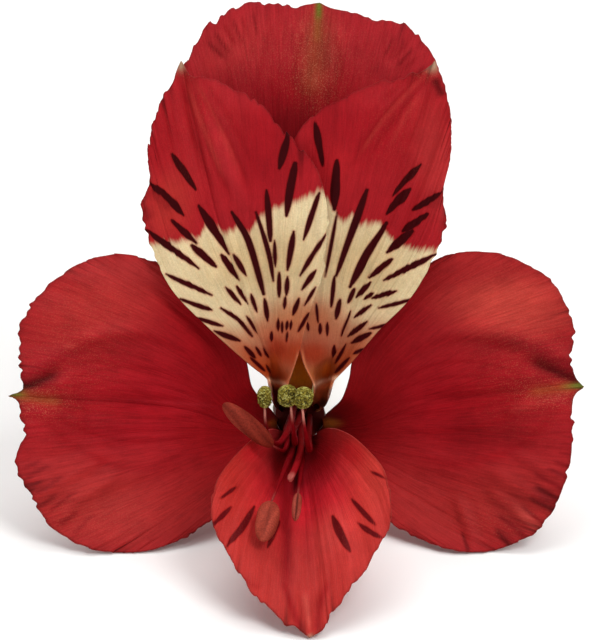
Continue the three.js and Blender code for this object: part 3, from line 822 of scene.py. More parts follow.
            (294, 231, 288, 269, 5), (320, 193, 304, 239, 5), (326, 234, 301, 275, 4),
            (316, 270, 303, 289, 4), (316, 287, 305, 305, 3), (280, 272, 280, 296, 4),
            (288, 276, 287, 294, 4), (286, 296, 285, 308, 3), (300, 298, 294, 314, 4),
            (265, 298, 268, 320, 4), (309, 313, 299, 331, 3), (279, 318, 279, 330, 3),
            (283, 321, 283, 332, 2.5), (288, 320, 287, 329, 2.5), (292, 320, 291, 329, 3),
            (288, 331, 287, 341, 2), (272, 331, 272, 340, 3), (244, 347, 254, 358, 4),
            (255, 347, 260, 356, 3), (263, 346, 267, 357, 3.5), (250, 358, 264, 371, 3),
            (265, 365, 269, 373, 2),
        ],
    },
    "inner_tepal_upper_right": {
        "base": "#9c1920",
        "washes": [
            (438, 165, 22, 62, 12, "#b43030", 0.7),
            (366, 130, 45, 42, 0, "#930c18", 0.72),
            (395, 92, 44, 12, 15, "#a42229", 0.5),
            (325, 160, 20, 30, 0, "#a0151c", 0.6),
            # painted light where the left blade shades this one
            (338, 172, 16, 26, 0, "#bc2228", 0.4),
            (432, 64, 8, 8, 0, HUSK, 0.85),
        ],
        "lines": [
            # folds drawn dark as painted shade
            (RIGHT_FOLD, 4, WINE, 0.8),
            (RIGHT_SIDE_FOLD, 3.5, WINE, 0.55),
            ((436, 58, 404, 80, 376, 106), 3.5, WINE, 0.5),
            ((438, 74, 424, 110, 404, 150), 3, WINE, 0.4),
            # ridges drawn light as painted highlight
            (RIGHT_RIDGE, 2.2, RIDGE_HIGHLIGHT, 0.4),
            ((424, 90, 404, 118, 388, 150), 2.2, RIDGE_HIGHLIGHT, 0.35),
            # painted shade beside the tip, and in the rolled fold by the notch
            ((434, 76, 444, 98), 4.5, DEEP_SHADE, 0.85),
            ((440, 190, 430, 210), 7, SHADE, 0.45),
        ],
        "throat": [
            (360, 268, 48, 40, 0, STRAW, 0.6),
            (314, 318, 34, 24, 0, "#ae5c38", 0.9),
            (345, 332, 22, 16, 0, FLESH, 0.7),
            (360, 348, 38, 14, 44, FLESH, 0.9),
            (312, 354, 40, 27, 0, "#962608", 0.97),
            (340, 362, 26, 15, 42, ORANGE_BROWN, 0.9),
            (322, 374, 20, 10, 10, "#a04a10", 0.9),
        ],
        "throat_lines": [
            # painted highlight along the lip of the claw's mouth
            ((308, 394, 314, 386, 320, 381, 327, 379, 334, 378.5, 346, 378), 2.2, LIP_HIGHLIGHT, 1.0),
            ((301, 346, 303, 358, 306, 368, 310, 377, 315, 390), 1.2, CLAW_RIDGE, 0.8),
        ],
        # the claw's rust skin lightened as painted light, its far side darkened as painted shade, and
        # painted light under the lip and on the keel
        "claw": [(321, 396, 10, 18, 0, CLAW_SKIN_AND_LIGHT, 1.0), (331, 400, 3, 18, 0, DEEP_SHADE, 0.9),
                 (326, 405, 6, 11, 10, "#2c0503", 0.9),
                 (326, 384, 9, 5, 12, "#ff9458", 0.95), (327, 370, 6, 9, 0, "#d86a1c", 0.7)],
        "folds": [
            (RIGHT_FOLD, -0.45, 0.5),
            (RIGHT_SIDE_FOLD, -0.3, 0.45),
            (RIGHT_RIDGE, 0.3, 0.4),
            ((400, 100, 370, 170, 345, 240), 0.15, 0.9),
        ],
        "dust": [(428, 70, 14, 12, 0, 0.8), (400, 120, 50, 60, 0, 0.2)],
        "boundary": [310, 192, 323, 196, 335, 210, 342, 220, 352, 215, 360, 226, 375, 222, 382, 226,
                     390, 235, 398, 243, 408, 247, 418, 250, 437, 250],
        "streaks": [
            (315, 122, 323, 165, 6), (337, 160, 334, 209, 7), (337, 211, 325, 276, 3),
            (367, 189, 353, 228, 336, 275, 6), (421, 164, 393, 195, 5), (410, 189, 387, 213, 7),
            (441, 193, 414, 210, 5), (428, 214, 404, 231, 6), (413, 231, 388, 252, 7),
            (387, 223, 365, 257, 350, 286, 7), (436, 254, 385, 280, 5), (393, 259, 370, 277, 5),
            (334, 276, 331, 306, 4), (371, 282, 357, 297, 4), (354, 288, 348, 302, 4),
            (374, 293, 365, 299, 3.5), (397, 291, 373, 298, 4), (413, 299, 380, 308, 3.5),
            (340, 299, 336, 318, 4), (316, 303, 318, 322, 3), (372, 305, 355, 317, 4),
            (351, 311, 341, 335, 3.5), (368, 322, 349, 336, 4), (391, 324, 370, 329, 3),
            (371, 333, 353, 343, 4.5), (320, 323, 320, 333, 3), (327, 322, 327, 335, 3),
            (307, 322, 308, 330, 2.5), (334, 345, 333, 356, 4), (347, 344, 337, 363, 3),
            (363, 349, 354, 354, 3), (350, 358, 336, 373, 3),
        ],
    },
    "inner_tepal_lower": {
        "base": "#ae2f2b",
        "washes": [
            (236, 480, 22, 60, 8, "#a42620", 0.8),
            (366, 480, 22, 56, -8, "#b8372e", 0.8),
            # lighter middle: painted light where the stamens shade it
            (304, 490, 50, 60, 0, "#cf1a2e", 0.9),
            (300, 575, 44, 44, 0, "#9f2a28", 0.7),
            # painted shade at the top of the channel, then the stamens' painted shadow
            (297, 432, 15, 32, 0, "#8e0a12", 0.95),
            (276, 446, 12, 20, 10, "#8a0f16", 0.5),
            # painted light where the anthers and filaments shade the tepal
            (254, 452, 14, 10, 20, "#d8202c", 0.6),
            (324, 456, 14, 18, 0, "#d21624", 0.7),
            (350, 452, 18, 12, -30, "#bc1620", 0.6),
            (262, 478, 14, 20, 0, "#a0141c", 0.5),
            (280, 500, 11, 18, 0, "#8c101c", 0.5),
            (274, 468, 8, 12, 0, "#8c101a", 0.4),
            (309, 542, 9, 20, 0, "#9a1c24", 0.45),
            (332, 532, 18, 26, -20, "#c4443e", 0.6),
            (311, 638, 4, 3, 0, HUSK, 0.6),
        ],
        "lines": [
            # painted shade in the channel, then along the central furrow
            ((298, 408, 298, 445, 297, 470, 293, 505), 6.5, "#2a0205", 0.95),
            ((293, 480, 287, 508, 285, 535, 287, 600), 7, FURROW_SHADE, 0.75),
            ((316, 490, 319, 530, 318, 570), 3, "#97191f", 0.15),
            # painted shade in the central fold
            ((291, 520, 288, 540, 287, 565), 3.5, "#7a0a14", 0.6),
            # painted shade in the two pinch folds at the tip, and painted highlight on the ridge between
            # them
            ((280, 575, 292, 608, 303, 642), 3.5, WINE, 0.8),
            ((332, 575, 321, 606, 315, 642), 3.5, WINE, 0.7),
            ((303, 590, 307, 612, 310, 634), 3, "#c65448", 0.4),
            ((240, 578, 262, 590), 3, WINE, 0.4),
        ],
        "folds": [
            ((297, 460, 289, 500, 286, 540, 288, 590), -0.5, 0.7),
            ((305, 642, 296, 614, 288, 585), 0.3, 0.6),
            ((314, 642, 319, 614, 326, 585), 0.3, 0.6),
        ],
        "dust": [(300, 540, 80, 90, 0, 0.2)],
        "streaks": [
            (372, 472, 386, 479, 2.5), (353, 500, 365, 514, 376, 526, 4), (359, 524, 370, 532, 382, 539, 4),
            (334, 518, 342, 537, 350, 552, 6), (235, 488, 220, 499, 3), (230, 508, 212, 526, 4),
            (253, 508, 243, 526, 228, 546, 5), (278, 522, 267, 548, 4),
        ],
    },
}
print("streaks:", sum(len(look.get("streaks", [])) for look in LOOKS.values()))

# %% [markdown]
# ## From a sheet to a closed mesh
# A petal is about 0.35 mm thick and thins to its margin. Both faces are the same grid, half the
# thickness in front of and behind the middle surface, sewn together round the edge. A UV map
# gives each face its own half of the square, so that the marks can also be baked to a picture.
# Numbers that the material needs at each point, such as its colour, go into named layers.

# %% Make a mesh and sew a sheet
LAYER_KINDS = {1: ("FLOAT", "value"), 3: ("FLOAT_VECTOR", "vector"), 4: ("FLOAT_COLOR", "color")}
UV_MARGIN = 0.01
FACE_UV_WIDTH, FACE_UV_HEIGHT = 0.48, 0.95  # of the UV square, for each face
BACK_SHIFT = 0.5
SEAM_UV_LOW, SEAM_UV_HIGH = 0.975, 0.99


def new_piece(name, body, material, node_name, layers):
    """A mesh piece in the table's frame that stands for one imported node."""
    points, faces, uv = body
    mesh = bpy.data.meshes.new(name)
    mesh.from_pydata(on_table(points).tolist(), [], faces)
    mesh.polygons.foreach_set("use_smooth", [True] * len(mesh.polygons))
    mesh.materials.append(material)
    uv_map = mesh.uv_layers.new(name="OFBake")
    uv_map.data.foreach_set("uv", np.asarray(uv, np.float32).ravel())
    for layer, values in layers.items():
        kind, field = LAYER_KINDS[values.shape[-1] if values.ndim > 1 else 1]
        data = mesh.attributes.new(layer, kind, "POINT").data
        data.foreach_set(field, np.asarray(values, np.float32).ravel())
    piece = bpy.data.objects.new(name, mesh)
    bpy.context.scene.collection.objects.link(piece)
    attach(piece, "root")
    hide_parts(node_name)


def sew_sheet(points, thickness):
    """Points, faces and UVs of a closed sheet round a grid of points of its middle surface."""
    rows, columns = points.shape[:2]
    across, along = np.gradient(points, axis=1), np.gradient(points, axis=0)
    offset = unit(np.cross(across, along)) * thickness[..., None] / 2
    both = np.concatenate([(points + offset).reshape(-1, 3), (points - offset).reshape(-1, 3)])
    count = rows * columns
    index = np.arange(count).reshape(rows, columns)
    a, b, c, d = index[:-1, :-1], index[:-1, 1:], index[1:, 1:], index[1:, :-1]
    front = np.stack([a, b, c, d], -1).reshape(-1, 4)
    back = front[:, ::-1] + count
    edge = np.concatenate([index[0], index[1:, -1], index[-1, -2::-1], index[-2:0:-1, 0]])
    following = np.roll(edge, -1)
    seam = np.stack([edge, edge + count, following + count, following], -1)

    u = np.broadcast_to(UV_MARGIN + FACE_UV_WIDTH * np.linspace(0, 1, columns), (rows, columns)).ravel()
    v = np.repeat(UV_MARGIN + FACE_UV_HEIGHT * np.linspace(0, 1, rows), columns)
    grid_uv = np.stack([np.concatenate([u, u + BACK_SHIFT]), np.tile(v, 2)], -1)
    run = np.linspace(UV_MARGIN, 1 - UV_MARGIN, len(edge) + 1)
    low, high = np.full(len(edge), SEAM_UV_LOW), np.full(len(edge), SEAM_UV_HIGH)
    seam_uv = np.stack([run[:-1], low, run[:-1], high, run[1:], high, run[1:], low], -1)
    uv = np.concatenate([part.reshape(-1, 2) for part in (grid_uv[front], grid_uv[back], seam_uv)])
    return both, front.tolist() + back.tolist() + seam.tolist(), uv


# %% [markdown]
# ## Petal skin
# The skin of a petal is a layer of tiny domed cells over coloured sap, which gives a satin,
# slightly velvety face with no sharp highlight. Veins fan from the foot, a little darker, and
# the skin rises and falls across them. The cells are 0.03 mm and too fine to show, so the grain
# is drawn five times coarser. The colour is built up in coats: the pigment, then the veins, the
# cream patch, the stain round each streak, the streak and the dust.

# %% Mix the petal skin
VEINS_ACROSS, VEINS_ALONG = 46, 0.09  # main veins from edge to edge, and their bends for each mm
VEIN_WIDTH = 0.07  # of the noise's range
VEIN_TINT = (0.62, 0.36, 0.38, 1)  # the shares of red, green and blue that a vein leaves
FIBRES_ACROSS, FIBRES_ALONG = 260, 0.3  # rows of cells, which are drawn too coarse as well
GRAIN, MOTTLE, DUST_GRAIN = 0.15, 2.5, 0.1  # mm
PALE_VEIN_TINT = (0.8, 0.66, 0.5, 1)
PATCH_EDGE = 0.4  # how far on each side of its outline the cream patch turns to red
FINGER_LENGTH = 1.35  # how far the veins carry the red into the cream
STAIN_TINT, STAIN_STRENGTH = (0.75, 0.3, 0.3, 1), 0.6
STAIN_FROM, STAIN_FULL = -0.18, 0.04  # mm inside the streak's rim
RAGGEDNESS = 0.1  # mm
DUST_COLOUR, DUST_STRENGTH = "#c98a64", 0.32
DARKEST, LIGHTEST, TONE_SPAN = 0.77, 1.23, 0.45
FIBRE_RELIEF, RELIEF_DEPTH = 0.3, 0.0002  # a share of the veins' relief, and m
MULTIPLIED = {"data_type": "RGBA", "blend_type": "MULTIPLY"}
LAID_OVER = {"data_type": "RGBA"}
SOFT_STEP = {"interpolation_type": "SMOOTHSTEP"}


def petal_skin(name, vein_share, fibre_share, streak_colour, patched=False):
    """A petal material: how strongly its veins and fibres show, its streaks' colour, and its patch."""
    material, tree = new_material(name)
    place = node(tree, "Attribute", attribute_name="vein_place").outputs["Vector"]
    spot = node(tree, "Attribute", attribute_name="spot_place").outputs["Vector"]
    streak = node(tree, "Attribute", attribute_name="streak").outputs["Fac"]
    dust = node(tree, "Attribute", attribute_name="dust").outputs["Fac"]

    # Veins are the places where a noise stretched along the petal crosses its middle value.
    stretch = {0: place, 1: (VEINS_ACROSS, VEINS_ALONG, 1)}
    stretched = node(tree, "VectorMath", stretch, operation="MULTIPLY").outputs[0]
    web_shape = {"Scale": 1.0, "Detail": 3.0, "Roughness": 0.62, "Distortion": 0.25}
    web = node(tree, "TexNoise", {"Vector": stretched, **web_shape}).outputs["Fac"]
    stretch = {0: place, 1: (FIBRES_ACROSS, FIBRES_ALONG, 1)}
    stretched = node(tree, "VectorMath", stretch, operation="MULTIPLY").outputs[0]
    fibre_shape = {"Scale": 1.0, "Detail": 2.0, "Roughness": 0.5}
    fibres = node(tree, "TexNoise", {"Vector": stretched, **fibre_shape}).outputs["Fac"]
    off_middle = node(tree, "Math", {0: web, 1: 0.5}, operation="SUBTRACT").outputs[0]
    distance = node(tree, "Math", {0: off_middle}, operation="ABSOLUTE").outputs[0]
    fall = {"From Min": 0.0, "From Max": VEIN_WIDTH, "To Min": vein_share, "To Max": 0.0}
    vein = node(tree, "MapRange", {"Value": distance, **fall}, **SOFT_STEP).outputs[0]
    coats = [(vein, VEIN_TINT, MULTIPLIED)]

    spots = {}
    for size, detail, roughness in ((MOTTLE, 4.0, 0.6), (GRAIN, 2.0, 0.7), (DUST_GRAIN, 1.0, 0.5)):
        inputs = {"Vector": spot, "Scale": 1 / size, "Detail": detail, "Roughness": roughness}
        spots[size] = node(tree, "TexNoise", inputs).outputs["Fac"]

    if patched:
        throat = node(tree, "Attribute", attribute_name="throat").outputs["Color"]
        cream = node(tree, "Attribute", attribute_name="cream").outputs["Fac"]
        # The red runs down into the cream along the veins, by up to half a millimetre.
        fingers = {0: off_middle, 1: FINGER_LENGTH, 2: cream}
        fingers = node(tree, "Math", fingers, operation="MULTIPLY_ADD").outputs[0]
        rise = {"Value": fingers, "From Min": -PATCH_EDGE, "From Max": PATCH_EDGE}
        patch = node(tree, "MapRange", rise, **SOFT_STEP).outputs[0]
        layers = {FACTOR: vein, COLOUR_A: throat, COLOUR_B: PALE_VEIN_TINT}
        pale = node(tree, "Mix", layers, **MULTIPLIED).outputs[MIXED]
        coats.append((patch, pale, LAID_OVER))

    # Sap stains the skin for nearly two tenths of a millimetre round a streak.
    rise = {"From Min": STAIN_FROM, "From Max": STAIN_FULL, "To Max": STAIN_STRENGTH}
    stain = node(tree, "MapRange", {"Value": streak, **rise}, **SOFT_STEP).outputs[0]
    coats.append((stain, STAIN_TINT, MULTIPLIED))
    ragged = {0: spots[GRAIN], 1: RAGGEDNESS, 2: streak}
    ragged = node(tree, "Math", ragged, operation="MULTIPLY_ADD").outputs[0]
    rise = {"Value": ragged, "From Min": -0.01, "From Max": 0.14}
    marked = node(tree, "MapRange", rise, **SOFT_STEP).outputs[0]
    coats.append((marked, socket_colour(streak_colour), LAID_OVER))

    # A dusting of pale cells lies on the midribs and the tips.
    rise = {"From Min": 0.52, "From Max": 0.72, "To Max": DUST_STRENGTH}
    cells = node(tree, "MapRange", {"Value": spots[DUST_GRAIN], **rise}, **SOFT_STEP).outputs[0]
    dusted = node(tree, "Math", {0: cells, 1: dust}, operation="MULTIPLY").outputs[0]
    coats.append((dusted, socket_colour(DUST_COLOUR), LAID_OVER))

    colour = node(tree, "Attribute", attribute_name="pigment").outputs["Color"]
    for share, coat, blend in coats:
        layers = {FACTOR: share, COLOUR_A: colour, COLOUR_B: coat}
        colour = node(tree, "Mix", layers, **blend).outputs[MIXED]

    # Broad mottling, the cells' grain and their rows lighten and darken it by nearly a quarter.
    blotches = node(tree, "Math", {0: spots[MOTTLE], 1: spots[GRAIN]}, operation="ADD").outputs[0]
    uneven = node(tree, "Math", {0: fibres, 1: fibre_share, 2: blotches}, operation="MULTIPLY_ADD")
    middle = 1 + fibre_share / 2
    tones = {"From Min": middle - TONE_SPAN, "From Max": middle + TONE_SPAN}
    tones.update({"To Min": DARKEST, "To Max": LIGHTEST})
    shade = node(tree, "MapRange", {"Value": uneven.outputs[0], **tones}).outputs[0]
    toned = node(tree, "VectorMath", {0: colour, "Scale": shade}, operation="SCALE").outputs[0]

    relief = node(tree, "Math", {0: fibres, 1: FIBRE_RELIEF, 2: web}, operation="MULTIPLY_ADD")
    bump = {"Height": relief.outputs[0], "Strength": 0.5, "Distance": RELIEF_DEPTH}
    bump = node(tree, "Bump", bump).outputs[0]
    satin = {
        "Base Color": toned,
        "Normal": bump,
        "Roughness": 0.52,
        "IOR": 1.4,
        "Specular IOR Level": 0.07,
        "Sheen Weight": 0.01,
        "Sheen Roughness": 0.4,
        "Sheen Tint": (1.0, 0.6, 0.55, 1),
        "Subsurface Weight": 0.1,
        "Subsurface Radius": (0.6, 0.12, 0.08),
        "Subsurface Scale": 0.001,
    }
    surface = node(tree, "BsdfPrincipled", satin)
    node(tree, "OutputMaterial", {"Surface": surface.outputs[0]})
    return material


SKINS = {
    "outer_tepal": petal_skin("satin_outer_petal_skin", 0.26, 1.2, "#3c0004"),
    "inner_tepal": petal_skin("satin_inner_petal_skin", 0.18, 0.7, "#350003", patched=True),
    "lower_tepal": petal_skin("satin_lower_petal_skin", 0.12, 0.75, "#5a060c"),
}

# %% [markdown]
# ## Build the tepals
# The grid is fine enough for the streaks, which are 0.2 to 0.7 mm wide, and its rows crowd
# where the streaks are. First the grid's points are measured: how far each is from the foot, the
# rim and the sides.

# %% Measure a tepal's grid
GRIDS = {
    # name: (columns, rows up to each share of the length, where the side margins start to be toothed)
    "outer_tepal_top": (230, ((0, 0), (0.5, 28), (1, 100)), 0.6),
    "outer_tepal_left": (290, ((0, 0), (0.4, 25), (1, 108)), 0.6),
    "outer_tepal_right": (290, ((0, 0), (0.4, 25), (1, 108)), 0.6),
    "inner_tepal_upper_left": (200, ((0, 0), (0.3, 36), (0.82, 176), (1, 210)), 0.76),
    "inner_tepal_upper_right": (200, ((0, 0), (0.3, 36), (0.82, 176), (1, 210)), 0.76),
    "inner_tepal_lower": (150, ((0, 0), (0.4, 40), (1, 200)), 0.94),
}


def lengths_along(points, axis):
    """How far each grid point is from its line's start, in mm, along one axis of the grid."""
    steps = np.linalg.norm(np.diff(points, axis=axis), axis=-1)
    pad = [(0, 0), (0, 0)]
    pad[axis] = (1, 0)
    return np.cumsum(np.pad(steps, pad), axis=axis)


def measure_grid(points):
    """Distances in mm over the sheet, by name."""
    from_foot = lengths_along(points, 0)
    from_left = lengths_along(points, 1)
    to_rim = from_foot[-1:] - from_foot
    to_side = np.minimum(from_left, from_left[:, -1:] - from_left)
    margin = np.maximum(-np.log(np.exp(-to_rim) + np.exp(-to_side)), 0)
    return {"foot": from_foot, "left": from_left, "rim": to_rim, "side": to_side, "margin": margin}


# %% [markdown]
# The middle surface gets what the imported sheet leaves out: folds, fan-shaped ribs, fine pleats
# and a toothed margin. Random runs along the rim place the pleats and teeth. The tip is smooth.

# %% Pleat and tooth a tepal
RIBS_ACROSS = (7, 11, 18, 29)
RIB_HEIGHT = 0.08
PLEAT_HEIGHT = 0.18
PLEAT_REACH = 2.4  # mm inwards from the rim
SIDE_PLEAT_REACH = 1.5
SIDE_PLEATS = 0.7  # of the rim's
PLEAT_STEP, FINE_PLEAT_STEP, PLEAT_CHANGE = 0.5, 0.26, 4  # mm along the rim
TOOTH = 0.3
TOOTH_REACH = 0.5
TIP_REACH = 3.5  # mm on either side of the tip where the teeth grow to their full size
SIDE_TEETH = 0.7  # of the rim's
TOOTH_STEP, COARSE_TOOTH_STEP, TOOTH_CHANGE = 0.48, 1.1, 3  # mm along the rim
SIDE_TOOTH_STEP, COARSE_SIDE_TOOTH_STEP = 0.5, 1.2  # mm along a side
ROOT_OVERLAP = 0.5  # mm that the foot reaches into the ovary's top


def pleat_heights(measures, t, toothed_from, seed):
    """How high the pleats at the rim and at the side margins stand, over PLEAT_HEIGHT."""
    rim_run = measures["left"][-1]
    pleats = wander(rim_run, PLEAT_STEP, seed) + 0.5 * wander(rim_run, FINE_PLEAT_STEP, seed + 1)
    pleats *= 0.65 + 0.65 * wander(rim_run, PLEAT_CHANGE, seed + 2)
    pleats = pleats[None] * np.exp(-measures["rim"] / PLEAT_REACH)
    side_pleats = wander(measures["foot"], PLEAT_STEP, seed + 3)
    side_pleats *= np.exp(-measures["side"] / SIDE_PLEAT_REACH)
    reach = smoothstep(toothed_from - 0.1, toothed_from + 0.1, t)[:, None]
    return pleats + SIDE_PLEATS * side_pleats * reach


def tooth_lengths(measures, s, t, toothed_from, seed):
    """How far the rim's teeth and the side margins' teeth reach out, in mm."""
    rim_run = measures["left"][-1]
    teeth = wander(rim_run, TOOTH_STEP, seed + 4)
    teeth += 0.5 * wander(rim_run, COARSE_TOOTH_STEP, seed + 5)
    teeth *= 0.8 + 0.6 * wander(rim_run, TOOTH_CHANGE, seed + 8)
    teeth *= smoothstep(0, TIP_REACH, np.abs(rim_run - rim_run[len(s) // 2]))
    teeth = teeth * np.exp(-measures["rim"] / TOOTH_REACH) * np.sin(np.pi * s) ** 0.2
    side_teeth = wander(measures["foot"], SIDE_TOOTH_STEP, seed + 6)
    side_teeth += 0.5 * wander(measures["foot"], COARSE_SIDE_TOOTH_STEP, seed + 7)
    side_teeth *= np.exp(-measures["side"] / TOOTH_REACH)
    side_teeth *= smoothstep(toothed_from, min(1, toothed_from + 0.15), t)[:, None]
    return TOOTH * teeth, np.sign(s - 0.5)[None] * TOOTH * SIDE_TEETH * side_teeth


# %% [markdown]
# The front gets its washes and lines. The back of a petal is duller, and an outer tepal has a
# green midrib there.

# %% Paint a tepal
BACK_RED, BACK_DULLNESS = "#8f3a33", 0.3
MIDRIB_WIDTH, MIDRIB_STRENGTH = 1.6, 0.75  # mm from its middle, and the share of green there
PLEAT_SHADE = 0.5
MARGIN_SHADE, MARGIN_SHADE_REACH = 0.3, 0.15  # a share of the light, and mm
CLAW_MOUTH = (0.235, 0.29)  # shares of the length between which the blade rolls into a tube
CREAM_STEEPNESS = 0.8  # under 1 it widens the soft edge of the cream patch
CREAM_LIMIT = 5


def opaque(colours):
    """Colours with an alpha of 1, one row for each mesh point."""
    colours = colours.reshape(-1, 3)
    return np.hstack([colours, np.ones((len(colours), 1))])


def both_faces(front, back):
    """A layer's values for the front face's points, then for the back's."""
    return np.vstack([front.reshape(-1, 3), back.reshape(-1, 3)])


def paint_pigment_light_and_shade(look, places, measures, pleats):
    """The front's colours outside the cream patch: its own colours, the washes' and lines' painted light
    and shade, painted shade in the pleats, and darker at the margin.
    """
    pigment = np.broadcast_to(linear(look["base"]), (*places.shape[:2], 3))
    pigment = brush_lines(places, brush(places, pigment, look["washes"]), look["lines"])
    # Less light reaches the bottom of a pleat, and the thin margin is a little darker.
    pigment = pigment * (1 - PLEAT_SHADE * smoothstep(0.1, 1.0, -pleats)[..., None])
    edge = np.exp(-measures["margin"] / MARGIN_SHADE_REACH)
    return pigment * (1 - MARGIN_SHADE * edge[..., None])


def paint_back(pigment, name, s, t, width):
    """The back's colours, from the front's."""
    back = mixed(pigment, linear(BACK_RED), BACK_DULLNESS)
    if name.startswith("outer"):
        midrib = np.exp(-(((s[None] - 0.5) * width / MIDRIB_WIDTH) ** 2))
        midrib = midrib * (1 - smoothstep(0.35, 1.0, t)[:, None])
        back = mixed(back, linear(LEAF_GREEN), (MIDRIB_STRENGTH * midrib)[..., None])
    return back


def paint_throat(look, places, t):
    """The colours of a cream patch and its claw, and how deep in the patch each place is."""
    throat = np.broadcast_to(linear(CREAM), (*places.shape[:2], 3))
    throat = brush(places, throat, look["throat"])
    # The claw below the blade's mouth is rolled into a tube, whose inside is painted nearly black as
    # painted shade.
    inside = (1 - smoothstep(*CLAW_MOUTH, t))[:, None, None]
    throat = mixed(throat, linear(TUBE_SHADE), inside)
    throat = brush_lines(places, brush(places, throat, look["claw"]), look["throat_lines"])
    edge = from_pixels(look["boundary"])
    cream = np.interp(places[..., 0], edge[:, 0], edge[:, 1]) - places[..., 1]
    return throat, np.clip(CREAM_STEEPNESS * cream, -CREAM_LIMIT, CREAM_LIMIT)


# %% Sew the six tepals
PETAL_THICKNESS, MARGIN_THICKNESS = 0.36, 0.14
THINNING = 2.5  # mm from the margin


def build_tepal(name, seed):
    look = LOOKS[name]
    columns, row_steps, toothed_from = GRIDS[name]
    shares, counts = zip(*row_steps)
    t = np.interp(np.arange(counts[-1] + 1), counts, shares)
    s = np.linspace(0, 1, columns + 1)
    points, across, along, behind = tepal_surface(TEPALS[name], s, t)
    places = as_seen(points)
    measures = measure_grid(points)

    pleats = pleat_heights(measures, t, toothed_from, seed)
    fans = sum(np.sin(2 * np.pi * count * s + seed + count) / count**0.5 for count in RIBS_ACROSS)
    height = sum((fold(places, *crease) for crease in look["folds"]), np.zeros(places.shape[:-1]))
    height += RIB_HEIGHT * fans[None] * smoothstep(0.25, 0.8, t)[:, None] + PLEAT_HEIGHT * pleats
    teeth, side_teeth = tooth_lengths(measures, s, t, toothed_from, seed)
    points = points - behind * height[..., None]
    points += along * teeth[..., None]
    points += across * side_teeth[..., None]
    points[..., 2] -= ROOT_OVERLAP * (1 - smoothstep(0, 0.08, t))[:, None]
    thickness = mixed(MARGIN_THICKNESS, PETAL_THICKNESS, smoothstep(0, THINNING, measures["margin"]))
    body = sew_sheet(points, thickness)

    pigment = paint_pigment_light_and_shade(look, places, measures, pleats)
    back = paint_back(pigment, name, s, t, measures["left"][:, -1:])
    dust = sum(strength * oval(places, *patch) for *patch, strength in look["dust"])
    streak = depth_in_streaks(places, look.get("streaks", []))
    across_share = np.broadcast_to(seed + s[None], streak.shape)
    vein_place = np.stack([across_share, measures["foot"], np.zeros(streak.shape)], -1)
    layers = {
        "pigment": opaque(both_faces(pigment, back)),
        "vein_place": both_faces(vein_place, vein_place),
        "spot_place": both_faces(points, points),
        "streak": np.tile(streak.ravel(), 2),
        "dust": np.tile(dust.ravel(), 2),
    }
    if "throat" in look:
        throat, cream = paint_throat(look, places, t)
        layers["throat"] = opaque(both_faces(throat, throat))
        layers["cream"] = np.tile(cream.ravel(), 2)

    kind = "lower_tepal" if name.endswith("lower") else "_".join(name.split("_")[:2])
    new_piece(f"{name}_petal", body, SKINS[kind], name, layers)
    print(name, "triangles:", 2 * len(body[1]), "thickness, mm:", thickness.min().round(2))


for seed, name in enumerate(TEPALS, start=3):
    build_tepal(name, seed * 10)

# %% [markdown]
# ## Stamens and style
# Six stamens rise in a ring round the style. Three anthers have burst and are rolled back under
# crumbs of green pollen, and three are still closed: long, smooth, brown-red, with a groove.
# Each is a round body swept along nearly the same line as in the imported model.

# %% Sweep a round body along a curve
CAP_UV_HEIGHT = 0.02  # of the UV square, for each closed end
FIRST_SIDE = [0.31, 0.95, 0.1]  # a way that no stalk starts along


def angles_round(sides):
    return 2 * np.pi * np.arange(sides) / sides


def ways_round(points):
    """Two ways square to a curve at each of its points, carried along without twisting."""
    tangents = unit(np.gradient(points, axis=0))
    side = unit(np.cross(tangents[0], FIRST_SIDE))
    sides = []
    for tangent in tangents:
        side = unit(side - tangent * (side @ tangent))
        sides.append(side)
    sides = np.array(sides)
    return sides, np.cross(tangents, sides)


def round_body(points, radius, sides, ways=None):
    """Points, faces and UVs of a closed tube. radius has a row for each point of the curve."""
    first, second = ways or ways_round(points)
    rings = len(points)
    cosine, sine = (wave(angles_round(sides))[None, :, None] for wave in (np.cos, np.sin))
    circle = first[:, None] * cosine + second[:, None] * sine
    skin = points[:, None] + np.broadcast_to(radius, (rings, sides))[..., None] * circle
    everything = np.vstack([skin.reshape(-1, 3), points[:1], points[-1:]])
    foot, head = rings * sides, rings * sides + 1
    u = np.linspace(UV_MARGIN, 1 - UV_MARGIN, sides + 1)
    v = np.linspace(UV_MARGIN + CAP_UV_HEIGHT, 1 - UV_MARGIN - CAP_UV_HEIGHT, rings)
    faces, uv = [], []
    for n in range(sides):
        m = (n + 1) % sides
        centre = (u[n] + u[n + 1]) / 2
        for k in range(rings - 1):
            ring, following = k * sides, (k + 1) * sides
            faces.append((ring + n, ring + m, following + m, following + n))
            uv += [(u[n], v[k]), (u[n + 1], v[k]), (u[n + 1], v[k + 1]), (u[n], v[k + 1])]
        faces.append((foot, m, n))
        uv += [(centre, UV_MARGIN), (u[n + 1], v[0]), (u[n], v[0])]
        faces.append((head, (rings - 1) * sides + n, (rings - 1) * sides + m))
        uv += [(centre, 1 - UV_MARGIN), (u[n], v[-1]), (u[n + 1], v[-1])]
    return everything, faces, uv


def with_ends(values, first, last):
    """Values for every ring point, then those of the two end points."""
    return np.concatenate([values.reshape(-1, values.shape[-1]), [first], [last]])


# %% [markdown]
# A filament is a wet, glassy stalklet: deep red where it leaves the throat, darker there as painted
# shade, and pale pink near a burst anther. The anther's skin is leathery and matt, and pollen is a dry
# powder.

